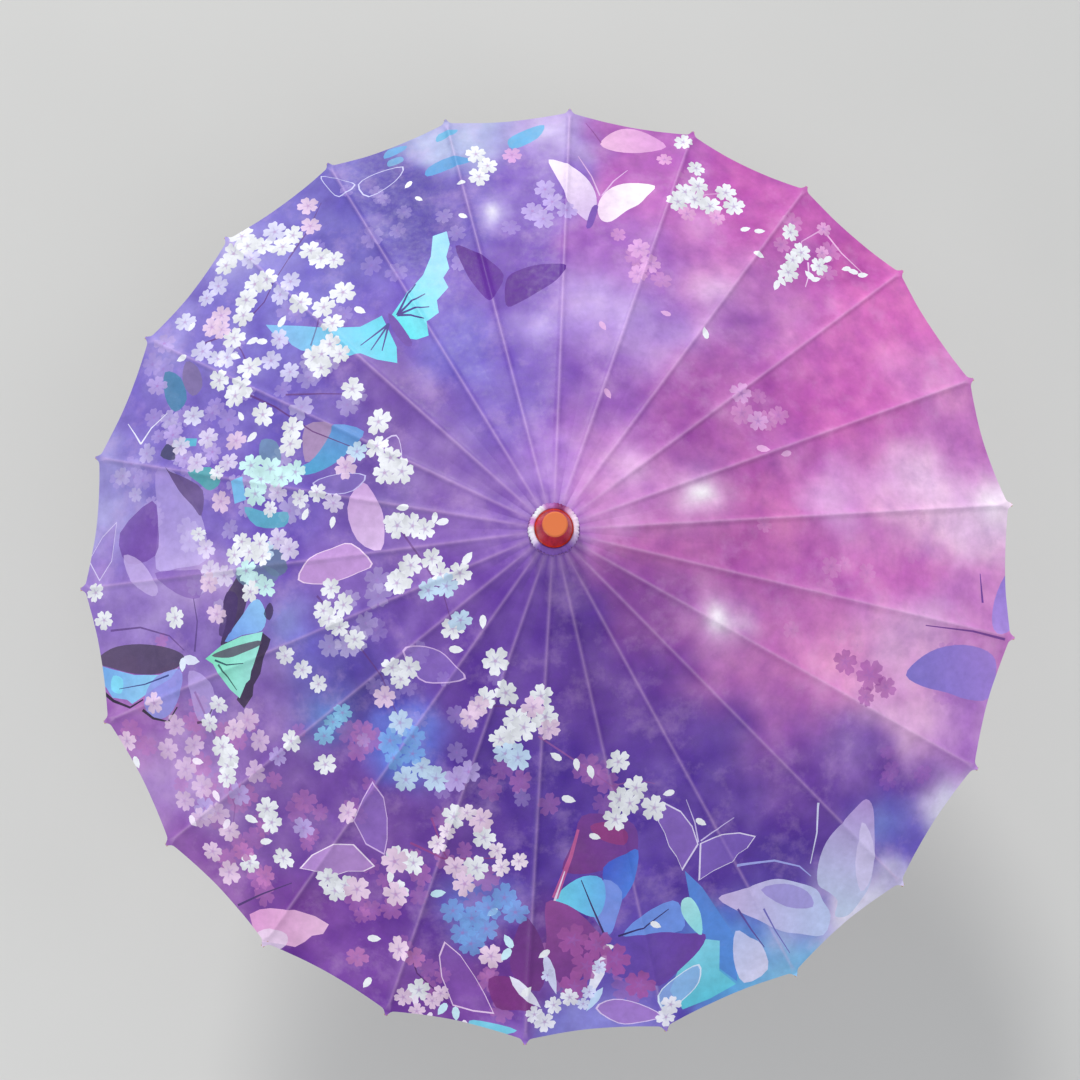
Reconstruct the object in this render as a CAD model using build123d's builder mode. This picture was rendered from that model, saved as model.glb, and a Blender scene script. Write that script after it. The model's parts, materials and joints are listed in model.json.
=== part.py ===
"""A folding umbrella with a pleated canopy on wooden ribs.

Millimetres. +Z runs up the shaft, from the handle to the finial.
The origin is the centre of the handle's bottom end. The umbrella is modelled open.
"""

import math
import os

from build123d import *

os.makedirs("parts", exist_ok=True)

# Folding frame
rib_count = 22
pitch_deg = 360 / rib_count
hub_z = 500.0  # height of the pivots in the top hub
pivot_r = 14.0  # distance of the hub and runner pivots from the shaft's axis
open_deg = 72.0  # angle between a rib and the downward shaft when open
rib_length = 432.0
joint_s = 185.0  # distance from a rib's top pivot to its stretcher's pivot
rim_s = 426.0  # distance from a rib's top pivot to the canopy's rim

# Rib section, a split bamboo strip
rib_half_depth = 2.2
rib_head_half_width = 0.95
rib_half_width = 1.7
rib_joint_half_width = 2.2
rib_tip_half_width = 1.5
rib_tip_drop = 0.3  # how far the tapered tip reaches below the rib's middle
rib_slot_width = 2.2
rib_slot_start = joint_s - 7.0
rib_slot_end = joint_s + 25.0

# Stretcher section
stretcher_half_depth = 1.7
stretcher_end_half_width = 0.9
stretcher_half_width = 1.5
pin_r = 0.5  # the stretcher's pivot in the rib
pin_bore_r = 0.6

# Threads that hold the strips in the hub and the runner
thread_r = 0.5
thread_channel_r = 0.55
thread_bore_r = 0.8

# Hub and runner
hub_r = 17.0
slot_width = 2.2
slot_inner_r = 10.0
hub_slot_top = hub_z + 3.0
hub_bottom = hub_z - 5.0
hub_top = hub_z + 17.0
runner_bore_r = 6.8
runner_r = 17.0
runner_neck_r = 11.0
runner_flange_r = 14.0

# Shaft, grip and finial
shaft_r = 6.5
fit_bore_r = 6.55
shaft_bottom = 6.0
shaft_top = hub_top - 2.0
knob_top = 14.0
knob_r = 10.5
knob_foot_r = 8.0
knob_side = 4.0  # height where the knob's rounded foot meets its straight side
grip_r = 11.0
grip_shoulder_r = shaft_r + 1.4
grip_top = 100.0
grip_groove_depth = 0.8
grip_grooves = (20.0, 91.0)  # heights of the two turned grooves
finial_r = 15.0
finial_top_r = 9.3
finial_height = 30.0

# Canopy and the cloth collar at its top
canopy_lift = 2.5  # from the middle of a rib to the canopy's underside
canopy_thickness = 0.3
canopy_top_r = hub_r + 0.3
collar_bore_r = hub_r + 0.05
collar_r = 20.5
collar_groove_r = 19.3
collar_tie_r = 0.6

# Catch that holds the runner up
catch_pivot_x = 3.0
catch_pivot_z = 322.0
catch_width = 1.6
catch_slot_width = 2.4
catch_pin_r = 0.8
catch_pin_half_length = 5.2
catch_pocket_floor = 0.8  # distance of the pocket's floor from the shaft's middle
catch_nose_x = 9.3
stop_pin_r = 1.2
stop_pin_overhang = 2.5

sin_open = math.sin(math.radians(open_deg))
cos_open = math.cos(math.radians(open_deg))

runner_z = hub_z - 2 * joint_s * cos_open  # height of the runner's pivots when open
runner_top = runner_z + 5.0
runner_slot_floor = runner_z - 3.0
runner_head_bottom = runner_z - 6.0
runner_neck_bottom = runner_z - 18.0
runner_bottom = runner_z - 24.0
catch_top = runner_bottom - 0.3
stop_pin_z = runner_top + 0.3 + stop_pin_r


def radial_point(index, radius, height):
    """Point at a radius and height in the plane of one rib."""
    angle = math.radians(index * pitch_deg)
    return (radius * math.cos(angle), radius * math.sin(angle), height)


def rib_plane(index):
    """Plane on a rib's top pivot: X runs to the tip and Z out of the canopy."""
    return Plane(
        origin=radial_point(index, pivot_r, hub_z),
        x_dir=radial_point(index, sin_open, -cos_open),
        z_dir=radial_point(index, cos_open, sin_open),
    )


def stretcher_plane(index):
    """Plane on a stretcher's pivot in its rib: X runs down to the runner."""
    return Plane(
        origin=radial_point(index, pivot_r + joint_s * sin_open, hub_z - joint_s * cos_open),
        x_dir=radial_point(index, -sin_open, -cos_open),
        z_dir=radial_point(index, -cos_open, sin_open),
    )


def canopy_radius(lift, height):
    """Radius, along a rib, of the canopy surface that lies at a lift above the rib."""
    along = (hub_z + lift * sin_open - height) / cos_open
    return pivot_r + along * sin_open + lift * cos_open


def mirrored(half_outline):
    """Closed outline from its upper half, which runs along X."""
    return half_outline + [(x, -y) for x, y in reversed(half_outline)]


# One rib, along X from its top pivot
rib_half_outline = [
    (-rib_half_depth, rib_head_half_width),
    (10.0, rib_head_half_width),
    (24.0, rib_half_width),
    (140.0, rib_half_width),
    (rib_slot_start - 8.0, rib_joint_half_width),
    (rib_slot_end + 8.0, rib_joint_half_width),
    (260.0, rib_half_width),
    (rib_length - 12.0, rib_half_width),
    (rib_length, rib_tip_half_width),
]
with BuildPart() as rib_shape:
    with BuildSketch(Plane.XY):
        Polygon(*mirrored(rib_half_outline), align=None)
    extrude(amount=rib_half_depth, both=True)
    with BuildSketch(Plane.XZ):
        Circle(rib_half_depth)
        Polygon(
            (0, rib_half_depth),
            (rib_length, rib_half_depth),
            (rib_length, -rib_tip_drop),
            (rib_length - 40.0, -rib_half_depth),
            (0, -rib_half_depth),
            align=None,
        )
    extrude(amount=rib_joint_half_width, both=True, mode=Mode.INTERSECT)
    with BuildSketch(Plane.XY):
        with Locations(((rib_slot_start + rib_slot_end) / 2, 0)):
            SlotOverall(rib_slot_end - rib_slot_start, rib_slot_width)
    extrude(amount=rib_half_depth, both=True, mode=Mode.SUBTRACT)
    with BuildSketch(Plane.XZ):
        Circle(thread_bore_r)
        with Locations((joint_s, 0)):
            Circle(pin_bore_r)
    extrude(amount=rib_joint_half_width, both=True, mode=Mode.SUBTRACT)

# One stretcher, along X from its pivot in the rib
stretcher_half_outline = [
    (-stretcher_half_depth, stretcher_end_half_width),
    (28.0, stretcher_end_half_width),
    (36.0, stretcher_half_width),
    (joint_s - 20.0, stretcher_half_width),
    (joint_s - 14.0, stretcher_end_half_width),
    (joint_s + stretcher_half_depth, stretcher_end_half_width),
]
with BuildPart() as stretcher_shape:
    with BuildSketch(Plane.XY):
        Polygon(*mirrored(stretcher_half_outline), align=None)
    extrude(amount=stretcher_half_depth, both=True)
    with BuildSketch(Plane.XZ):
        with Locations((joint_s / 2, 0)):
            SlotCenterToCenter(joint_s, 2 * stretcher_half_depth)
    extrude(amount=stretcher_half_width, both=True, mode=Mode.INTERSECT)
    with BuildSketch(Plane.XZ):
        with Locations((joint_s, 0)):
            Circle(thread_bore_r)
    extrude(amount=stretcher_half_width, both=True, mode=Mode.SUBTRACT)
    with BuildSketch(Plane.XZ):
        Circle(pin_r)
    extrude(amount=rib_joint_half_width, both=True)

for index in range(rib_count):
    rib = rib_plane(index).location * rib_shape.part
    rib.label = f"rib_{index:02d}"
    export_step(rib, f"parts/rib_{index:02d}.step")
    stretcher = stretcher_plane(index).location * stretcher_shape.part
    stretcher.label = f"stretcher_{index:02d}"
    export_step(stretcher, f"parts/stretcher_{index:02d}.step")

# Top hub: a turned drum with a radial slot for each rib's head
with BuildPart() as top_hub:
    with BuildSketch(Plane.XZ):
        with BuildLine():
            Polyline(
                (fit_bore_r, hub_bottom),
                (hub_r - 1.5, hub_bottom),
                (hub_r, hub_bottom + 1.5),
                (hub_r, hub_top - 1.0),
                (hub_r - 1.0, hub_top),
                (fit_bore_r, hub_top),
                close=True,
            )
        make_face()
    revolve(axis=Axis.Z)
    with BuildSketch(Plane.XY.offset(hub_bottom)):
        with PolarLocations((slot_inner_r + hub_r) / 2 + 1.0, rib_count):
            Rectangle(hub_r - slot_inner_r + 2.0, slot_width)
    extrude(amount=hub_slot_top - hub_bottom, mode=Mode.SUBTRACT)
    with BuildSketch(Plane.XZ):
        with Locations((pivot_r, hub_z)):
            Circle(thread_channel_r)
    revolve(axis=Axis.Z, mode=Mode.SUBTRACT)
top_hub.part.label = "top_hub"
export_step(top_hub.part, "parts/top_hub.step")

# Thread ring that the rib heads turn on
with BuildPart() as hub_thread:
    with BuildSketch(Plane.XZ):
        with Locations((pivot_r, hub_z)):
            Circle(thread_r)
    revolve(axis=Axis.Z)
hub_thread.part.label = "hub_thread"
export_step(hub_thread.part, "parts/hub_thread.step")

# Runner: slides on the shaft and carries the stretchers' lower ends
with BuildPart() as runner:
    with BuildSketch(Plane.XZ):
        with BuildLine():
            Polyline(
                (runner_bore_r, runner_bottom),
                (runner_flange_r - 1.0, runner_bottom),
                (runner_flange_r, runner_bottom + 1.0),
                (runner_flange_r, runner_neck_bottom - 1.0),
                (runner_flange_r - 1.0, runner_neck_bottom),
                (runner_neck_r, runner_neck_bottom + 1.5),
                (runner_neck_r, runner_head_bottom - 3.0),
                (runner_r - 1.0, runner_head_bottom),
                (runner_r, runner_head_bottom + 1.0),
                (runner_r, runner_top - 1.0),
                (runner_r - 1.0, runner_top),
                (runner_bore_r, runner_top),
                close=True,
            )
        make_face()
    revolve(axis=Axis.Z)
    with BuildSketch(Plane.XY.offset(runner_slot_floor)):
        with PolarLocations((slot_inner_r + runner_r) / 2 + 1.0, rib_count):
            Rectangle(runner_r - slot_inner_r + 2.0, slot_width)
    extrude(amount=runner_top - runner_slot_floor, mode=Mode.SUBTRACT)
    with BuildSketch(Plane.XZ):
        with Locations((pivot_r, runner_z)):
            Circle(thread_channel_r)
    revolve(axis=Axis.Z, mode=Mode.SUBTRACT)
runner.part.label = "runner"
export_step(runner.part, "parts/runner.step")

# Thread ring that the stretchers' lower ends turn on
with BuildPart() as runner_thread:
    with BuildSketch(Plane.XZ):
        with Locations((pivot_r, runner_z)):
            Circle(thread_r)
    revolve(axis=Axis.Z)
runner_thread.part.label = "runner_thread"
export_step(runner_thread.part, "parts/runner_thread.step")

# Shaft: a wooden rod with a pocket for the catch and cross holes for its pin and the stop
with BuildPart() as shaft:
    with BuildSketch(Plane.XY.offset(shaft_bottom)):
        Circle(shaft_r)
    extrude(amount=shaft_top - shaft_bottom)
    with BuildSketch(Plane.XZ):
        Polygon(
            (catch_pocket_floor, catch_pivot_z - 3.0),
            (shaft_r + 1.0, catch_pivot_z - 3.0),
            (shaft_r + 1.0, catch_top + 2.0),
            (catch_pocket_floor, catch_top + 2.0),
            align=None,
        )
    extrude(amount=catch_slot_width / 2, both=True, mode=Mode.SUBTRACT)
    with BuildSketch(Plane.XZ):
        with Locations((catch_pivot_x, catch_pivot_z)):
            Circle(catch_pin_r + 0.05)
        with Locations((0, stop_pin_z)):
            Circle(stop_pin_r + 0.05)
    extrude(amount=shaft_r + 1.0, both=True, mode=Mode.SUBTRACT)
shaft.part.label = "shaft"
export_step(shaft.part, "parts/shaft.step")

# Catch: a sprung tongue in the shaft's pocket, under the open runner
with BuildPart() as catch_spring:
    with BuildSketch(Plane.XZ):
        Polygon(
            (catch_pivot_x - 1.5, catch_pivot_z),
            (catch_pivot_x + 1.5, catch_pivot_z),
            (catch_nose_x, catch_top - 3.0),
            (catch_nose_x, catch_top),
            (catch_nose_x - 3.6, catch_top),
            align=None,
        )
        with Locations((catch_pivot_x, catch_pivot_z)):
            Circle(1.5)
            Circle(catch_pin_r + 0.1, mode=Mode.SUBTRACT)
    extrude(amount=catch_width / 2, both=True)
catch_spring.part.label = "catch_spring"
export_step(catch_spring.part, "parts/catch_spring.step")

# Pin that the catch turns on, across the shaft
with BuildPart() as catch_pin:
    with BuildSketch(Plane.XZ):
        with Locations((catch_pivot_x, catch_pivot_z)):
            Circle(catch_pin_r)
    extrude(amount=catch_pin_half_length, both=True)
catch_pin.part.label = "catch_pin"
export_step(catch_pin.part, "parts/catch_pin.step")

# Stop pin above the open runner, standing out of the shaft on both sides
with BuildPart() as stop_pin:
    with BuildSketch(Plane.XZ):
        with Locations((0, stop_pin_z)):
            Circle(stop_pin_r)
    extrude(amount=shaft_r + stop_pin_overhang, both=True)
    chamfer(stop_pin.edges(), length=0.3)
stop_pin.part.label = "stop_pin"
export_step(stop_pin.part, "parts/stop_pin.step")

# Grip: a turned sleeve on the shaft's lower end, straight between two rounded shoulders
with BuildPart() as grip:
    with BuildSketch(Plane.XZ):
        with BuildLine():
            Polyline((fit_bore_r, knob_top), (grip_r - 0.8, knob_top), (grip_r, knob_top + 0.8))
            grip_side = knob_top + 0.8
            for groove_z in grip_grooves:
                Polyline(
                    (grip_r, grip_side),
                    (grip_r, groove_z - 1.0),
                    (grip_r - grip_groove_depth, groove_z),
                    (grip_r, groove_z + 1.0),
                )
                grip_side = groove_z + 1.0
            Spline(
                (grip_r, grip_side),
                (grip_r - 1.2, grip_top - 3.0),
                (grip_shoulder_r, grip_top),
                tangents=[(0, 1), (-1, 0.3)],
            )
            Polyline((grip_shoulder_r, grip_top), (fit_bore_r, grip_top), (fit_bore_r, knob_top))
        make_face()
    revolve(axis=Axis.Z)
grip.part.label = "grip"
export_step(grip.part, "parts/grip.step")

# End knob: closes the grip and stands on its flat foot
with BuildPart() as end_knob:
    with BuildSketch(Plane.XZ):
        with BuildLine():
            Line((0, 0), (knob_foot_r, 0))
            RadiusArc((knob_foot_r, 0), (knob_r, knob_side), -4.5)
            Polyline(
                (knob_r, knob_side),
                (knob_r, knob_top - 0.8),
                (knob_r - 0.8, knob_top),
                (fit_bore_r, knob_top),
                (fit_bore_r, shaft_bottom),
                (0, shaft_bottom),
                (0, 0),
            )
        make_face()
    revolve(axis=Axis.Z)
end_knob.part.label = "end_knob"
export_step(end_knob.part, "parts/end_knob.step")

# Finial: a lacquered cap, a cone with a flat top on a short turned base
with BuildPart() as finial:
    with BuildSketch(Plane.XZ):
        with BuildLine():
            Polyline(
                (0, hub_top),
                (finial_r - 0.6, hub_top),
                (finial_r, hub_top + 0.6),
                (finial_r, hub_top + 4.0),
                (finial_r - 0.8, hub_top + 4.8),
                (finial_r - 1.0, hub_top + 6.0),
                (finial_top_r + 0.3, hub_top + finial_height - 1.0),
                (finial_top_r - 0.7, hub_top + finial_height),
                (0, hub_top + finial_height),
                close=True,
            )
        make_face()
    revolve(axis=Axis.Z)
finial.part.label = "finial"
export_step(finial.part, "parts/finial.step")

# Canopy: a many-sided cone of paper on the ribs, open round the hub
rim_z = hub_z - rim_s * cos_open + canopy_lift * sin_open
canopy_top_z = hub_z + canopy_lift * sin_open
canopy_top_z -= (canopy_top_r - pivot_r - canopy_lift * cos_open) * cos_open / sin_open
outer_lift = canopy_lift + canopy_thickness
with BuildPart() as canopy:
    for height in (rim_z, canopy_top_z):
        with BuildSketch(Plane.XY.offset(height)):
            RegularPolygon(canopy_radius(outer_lift, height), rib_count)
    loft(ruled=True)
    for height in (rim_z, canopy_top_z):
        with BuildSketch(Plane.XY.offset(height)):
            RegularPolygon(canopy_radius(canopy_lift, height), rib_count)
    loft(ruled=True, mode=Mode.SUBTRACT)
canopy.part.label = "canopy"
export_step(canopy.part, "parts/canopy.step")

# Collar: gathered cloth round the hub, over the canopy's top edge
collar_bottom = canopy_top_z + 0.3
collar_top = hub_top + 1.5
collar_waist_z = (collar_bottom + collar_top) / 2 + 2.0
with BuildPart() as crown_collar:
    with BuildSketch(Plane.XZ):
        with BuildLine():
            Polyline(
                (collar_bore_r, collar_bottom),
                (collar_r - 0.8, collar_bottom),
                (collar_r, collar_bottom + 0.8),
                (collar_r, collar_waist_z - 2.4),
                (collar_groove_r, collar_waist_z - 0.9),
                (collar_groove_r, collar_waist_z + 0.9),
                (collar_r, collar_waist_z + 2.4),
                (collar_r, collar_top - 0.8),
                (collar_r - 0.8, collar_top),
                (collar_bore_r, collar_top),
                close=True,
            )
        make_face()
    revolve(axis=Axis.Z)
crown_collar.part.label = "crown_collar"
export_step(crown_collar.part, "parts/crown_collar.step")

# Cord tied round the collar, in its waist
with BuildPart() as collar_tie:
    with BuildSketch(Plane.XZ):
        with Locations((collar_groove_r + collar_tie_r + 0.05, collar_waist_z)):
            Circle(collar_tie_r)
    revolve(axis=Axis.Z)
collar_tie.part.label = "collar_tie"
export_step(collar_tie.part, "parts/collar_tie.step")
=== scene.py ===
"""Looks for an open oil-paper umbrella.

Printed paper gores and a gathered collar are made here; the bamboo frame, shaft, grip and finial keep
their CAD shapes and get materials. Geometry is in metres in the frame's own axes. The printed design is
drawn in millimetres on the canopy seen from above, with the shaft at (0, 0).
"""

import json
import math
import random

import bpy
import numpy as np
from mathutils import Matrix, Vector, noise
from mathutils.geometry import delaunay_2d_cdt

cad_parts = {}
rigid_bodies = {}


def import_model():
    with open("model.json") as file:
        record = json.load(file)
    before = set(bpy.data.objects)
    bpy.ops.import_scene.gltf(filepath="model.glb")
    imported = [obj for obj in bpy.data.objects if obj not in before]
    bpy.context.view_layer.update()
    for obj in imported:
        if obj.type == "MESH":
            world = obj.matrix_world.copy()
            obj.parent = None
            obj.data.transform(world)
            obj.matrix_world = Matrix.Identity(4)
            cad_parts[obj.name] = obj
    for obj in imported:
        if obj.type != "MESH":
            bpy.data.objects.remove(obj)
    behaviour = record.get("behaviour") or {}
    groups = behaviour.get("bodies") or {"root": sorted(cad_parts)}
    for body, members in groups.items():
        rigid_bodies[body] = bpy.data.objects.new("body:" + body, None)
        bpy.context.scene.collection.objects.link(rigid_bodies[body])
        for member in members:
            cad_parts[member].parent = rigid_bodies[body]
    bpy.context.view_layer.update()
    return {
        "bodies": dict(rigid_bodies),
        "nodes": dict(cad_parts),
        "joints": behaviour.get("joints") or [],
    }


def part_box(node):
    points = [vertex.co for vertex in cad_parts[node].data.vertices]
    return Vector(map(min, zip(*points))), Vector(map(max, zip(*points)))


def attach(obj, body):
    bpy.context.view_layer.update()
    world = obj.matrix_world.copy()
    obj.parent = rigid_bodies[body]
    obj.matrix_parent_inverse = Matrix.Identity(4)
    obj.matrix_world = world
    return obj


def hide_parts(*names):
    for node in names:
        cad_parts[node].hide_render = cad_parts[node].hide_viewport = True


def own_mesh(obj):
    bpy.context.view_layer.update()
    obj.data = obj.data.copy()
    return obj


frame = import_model()
joints = {joint["name"]: joint for joint in frame["joints"]}
MM = 0.001

# Driving dimensions, read from the frame
RIBS = sorted(name for name in frame["bodies"] if name.startswith("rib_"))
PITCH = 2 * math.pi / len(RIBS)
HALF = PITCH / 2
PIVOT_R, _, HUB_Z = joints["fold"]["pos_m"]
JOINT_R, _, JOINT_Z = joints["stretch_00"]["pos_m"]
OPEN = math.atan2(JOINT_R - PIVOT_R, HUB_Z - JOINT_Z)  # between a rib and the downward shaft
RIM_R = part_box("canopy")[1].x
HUB_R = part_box("top_hub")[1].x
COLLAR_LOW, COLLAR_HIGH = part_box("crown_collar")
FINIAL_LOW, FINIAL_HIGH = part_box("finial")

# Paper
PAPER_LIFT = 2.95 * MM  # from the middle of a rib to the paper's outer face
PAPER_THICKNESS = 0.35 * MM
PAPER_TOP_R = HUB_R + 0.5 * MM
PAPER_SAG = 5.0 * MM  # how far a panel sinks between its ribs at the rim
RIDGE_HEIGHT = 1.5 * MM  # how far a rib shows through the paper
RIDGE_HALF_WIDTH = 2.6 * MM
RIM_DIP = 2.5 * MM  # how far the rim curves in between two rib tips
NUB_LENGTH = 4.0 * MM  # the paper's point round each rib tip
NUB_HALF_WIDTH = 2.4 * MM

# Mesh of a gore, in millimetres
RIM_STEPS = 45  # points along its rim
ROW_STEP = 5.5  # between its rows of vertices
CREASE_LINES = (1.4, 3.2)  # in from a crease
CREASE_FROM = 10.0  # half width at which these lines start
RIB_LINES = (0.0, 1.0, -1.0, 2.0, -2.0, 3.0, -3.0, 4.2, -4.2, 6.5, -6.5)  # to the side of a rib
EDGE_CLEAR = 3.5  # kept between these lines and a crease
RIM_CLEAR = 3.2  # how far the last row stands past the end of the creases

# Collar
PLEATS = 44
PLEAT_STEPS = 6  # points round each pleat
LEVELS = 22  # steps from the bottom to the top
CLOTH_SWELL = 0.5 * MM  # room kept for the pleats inside the collar's CAD radius

rng = random.Random(22)
noise.seed_set(22)  # noise_vector differs from run to run without it
panel_sag = [PAPER_SAG * rng.uniform(0.65, 1.25) for _ in RIBS]


# ---------------------------------------------------------------- printed design

def srgb(red, green, blue):
    """Scene-linear colour from display values between 0 and 1."""
    values = np.array((red, green, blue), float)
    return np.where(values <= 0.04045, values / 12.92, ((values + 0.055) / 1.055) ** 2.4)


# Washes of the background: (x, y, spread, red, green, blue)
WASHES = [
    (-22, 215, 45, .48, .34, .69), (-100, 230, 45, .50, .42, .76), (-157, 288, 40, .46, .42, .73),
    (-100, 305, 35, .32, .26, .61), (-50, 320, 30, .42, .34, .69), (-38, 383, 30, .66, .68, .84),
    (42, 383, 26, .70, .62, .83), (15, 345, 34, .50, .37, .72), (82, 187, 42, .68, .56, .82),
    (90, 250, 36, .67, .45, .75), (180, 180, 26, .60, .40, .69), (118, 364, 26, .64, .36, .67),
    (50, 115, 40, .57, .38, .69), (0, 145, 32, .50, .38, .72), (135, 330, 40, .74, .44, .74),
    (208, 201, 55, .75, .50, .75), (230, 290, 50, .76, .40, .70), (245, 238, 26, .64, .34, .64),
    (302, 240, 26, .70, .34, .64), (277, 103, 60, .80, .44, .73), (330, 190, 50, .86, .48, .76),
    (362, 125, 30, .85, .58, .80), (378, 57, 40, .80, .52, .78), (290, -35, 40, .80, .46, .75),
    (300, 2, 30, .92, .72, .88), (330, 20, 30, .94, .80, .92), (375, 0, 28, .93, .78, .91),
    (408, 6, 24, .95, .87, .95), (255, 18, 28, .84, .60, .84), (120, -14, 45, .72, .41, .67),
    (60, 50, 40, .80, .56, .80), (180, 0, 32, .78, .45, .71), (130, 90, 45, .64, .36, .65),
    (190, 90, 40, .69, .38, .67), (115, -77, 45, .70, .42, .69), (120, -125, 30, .76, .48, .73),
    (75, -62, 26, .50, .28, .59), (200, -60, 45, .75, .44, .72), (215, -115, 38, .92, .63, .83),
    (288, -110, 36, .87, .62, .83), (330, -110, 30, .82, .60, .82), (378, -90, 30, .82, .56, .80),
    (295, -180, 34, .91, .73, .88), (340, -200, 32, .72, .52, .80), (170, -140, 34, .82, .52, .76),
    (185, -185, 34, .66, .43, .72), (120, -185, 40, .44, .33, .65), (190, -230, 45, .42, .27, .62),
    (262, -215, 28, .44, .28, .63), (232, -262, 26, .42, .29, .62), (280, -262, 24, .42, .36, .72),
    (300, -236, 24, .44, .28, .62), (325, -258, 18, .80, .80, .92), (175, -290, 30, .34, .24, .60),
    (166, -335, 24, .50, .52, .82), (230, -330, 26, .80, .78, .90), (108, -345, 30, .36, .55, .84),
    (150, -375, 28, .50, .72, .88), (67, -137, 50, .44, .28, .62), (60, -200, 50, .38, .26, .64),
    (-13, -232, 50, .36, .24, .61), (100, -270, 40, .38, .26, .62), (40, -270, 32, .42, .31, .69),
    (-80, -40, 45, .48, .33, .66), (-63, 10, 40, .56, .42, .73), (0, 62, 30, .66, .50, .81),
    (-40, -90, 42, .42, .28, .63), (-80, 62, 45, .57, .44, .70), (-140, 140, 45, .49, .36, .65),
    (-40, 115, 42, .50, .41, .74), (-55, 175, 32, .50, .48, .80), (-150, 60, 45, .46, .37, .65),
    (-200, 130, 45, .46, .40, .73), (-230, 250, 45, .50, .46, .78), (-300, 200, 45, .52, .47, .77),
    (-320, 130, 40, .50, .43, .75), (-383, 78, 40, .60, .57, .81), (-355, -10, 45, .60, .50, .77),
    (-300, -4, 26, .76, .66, .85), (-290, 60, 40, .50, .42, .74), (-230, 30, 40, .46, .38, .73),
    (-309, -64, 42, .52, .42, .70), (-190, -20, 40, .56, .44, .74), (-197, -90, 40, .38, .36, .66),
    (-180, -118, 26, .30, .22, .54), (-140, -60, 40, .50, .38, .70), (-138, -165, 26, .42, .50, .86),
    (-240, -110, 36, .60, .48, .73), (-275, -194, 45, .54, .40, .68), (-335, -180, 34, .70, .58, .80),
    (-380, -120, 32, .62, .42, .70), (-330, -250, 34, .56, .36, .66), (-198, -200, 40, .46, .31, .63),
    (-180, -240, 28, .52, .36, .66), (-120, -220, 45, .45, .30, .62), (-60, -185, 30, .32, .20, .57),
    (-198, -327, 42, .50, .30, .65), (-250, -290, 34, .45, .24, .58), (-235, -240, 28, .46, .30, .62),
    (-130, -300, 42, .42, .25, .60), (-95, -305, 26, .44, .46, .78), (-60, -350, 34, .43, .23, .56),
    (-28, -400, 24, .56, .56, .84), (-110, -380, 34, .50, .30, .64), (20, -410, 24, .54, .50, .82),
    (50, -362, 30, .41, .34, .70), (-90, -410, 22, .60, .44, .78),
]

# Soft lights in the background: (x, y, radius, strength, red, green, blue)
GLOWS = [
    (-25, 308, 22, .55, .90, .88, .98), (-25, 308, 8, .75, 1, 1, 1), (55, 200, 26, .50, .86, .78, .96),
    (8, 188, 20, .50, .86, .82, .98), (67, 48, 17, .55, .95, .82, .95),
    (124, 24, 27, .60, .96, .86, .96), (124, 24, 11, .90, 1, 1, 1), (130, -80, 24, .55, .94, .80, .95),
    (130, -80, 11, .90, 1, .98, 1), (150, -86, 12, .45, 1, .95, 1), (250, 12, 20, .50, .95, .80, .94),
    (295, 40, 24, .40, .93, .76, .92), (345, 22, 30, .45, .95, .82, .95), (404, 8, 20, .75, 1, .96, 1),
    (376, -22, 20, .50, .93, .78, .94), (322, 140, 20, .28, .93, .72, .90),
    (170, 282, 22, .40, .90, .76, .92), (168, 212, 20, .55, .95, .85, .95),
    (150, 176, 16, .30, .92, .74, .92), (100, 140, 26, .25, .92, .74, .92),
    (175, 105, 18, .30, .92, .70, .90), (210, 55, 20, .22, .94, .74, .92),
    (285, -118, 28, .45, .93, .78, .92), (322, -98, 24, .35, .92, .78, .92),
    (238, -196, 26, .28, .78, .70, .92), (322, -258, 24, .75, .93, .92, .98),
    (228, -336, 22, .70, .93, .92, .98), (166, -352, 20, .45, .84, .88, .97),
    (-330, -175, 22, .40, .86, .74, .92), (-345, -20, 26, .30, .84, .76, .93),
    (-268, 306, 34, .45, .93, .93, 1), (-330, 228, 26, .35, .82, .80, .97),
    (-213, -65, 22, .50, .48, .46, .86), (-138, -167, 20, .40, .42, .66, .95),
    (-200, -128, 20, .50, .40, .70, .92), (-95, -300, 24, .45, .46, .70, .94),
    (-60, 388, 22, .35, .80, .88, .97), (-230, -45, 20, .35, .55, .74, .90),
    (-395, 62, 22, .30, .80, .76, .95), (258, -268, 24, .40, .52, .76, .95),
    (110, -372, 20, .55, .34, .80, .93), (8, -405, 20, .40, .62, .66, .95),
    (40, 395, 18, .45, .88, .86, .96),
]


# Two noises, coarse and fine, bend the washes by some millimetres and cloud them
BEND_SCALE, BEND, BEND_CLOUD = 38, 17, 0.07
FINE_SCALE, FINE, FINE_CLOUD = 13, 5, 0.06
CLOUD_TINT = (1.0, 1.2, 0.6)
GLOW_BEND = 0.55  # a glow is bent by this share of what a wash is
SATURATION, DARKENING = 1.10, 0.02


def stirred(x, y, scale, level):
    """Noise vectors at arrays of places."""
    return np.array([noise.noise_vector(Vector((px / scale, py / scale, level))) for px, py in zip(x, y)])


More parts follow.
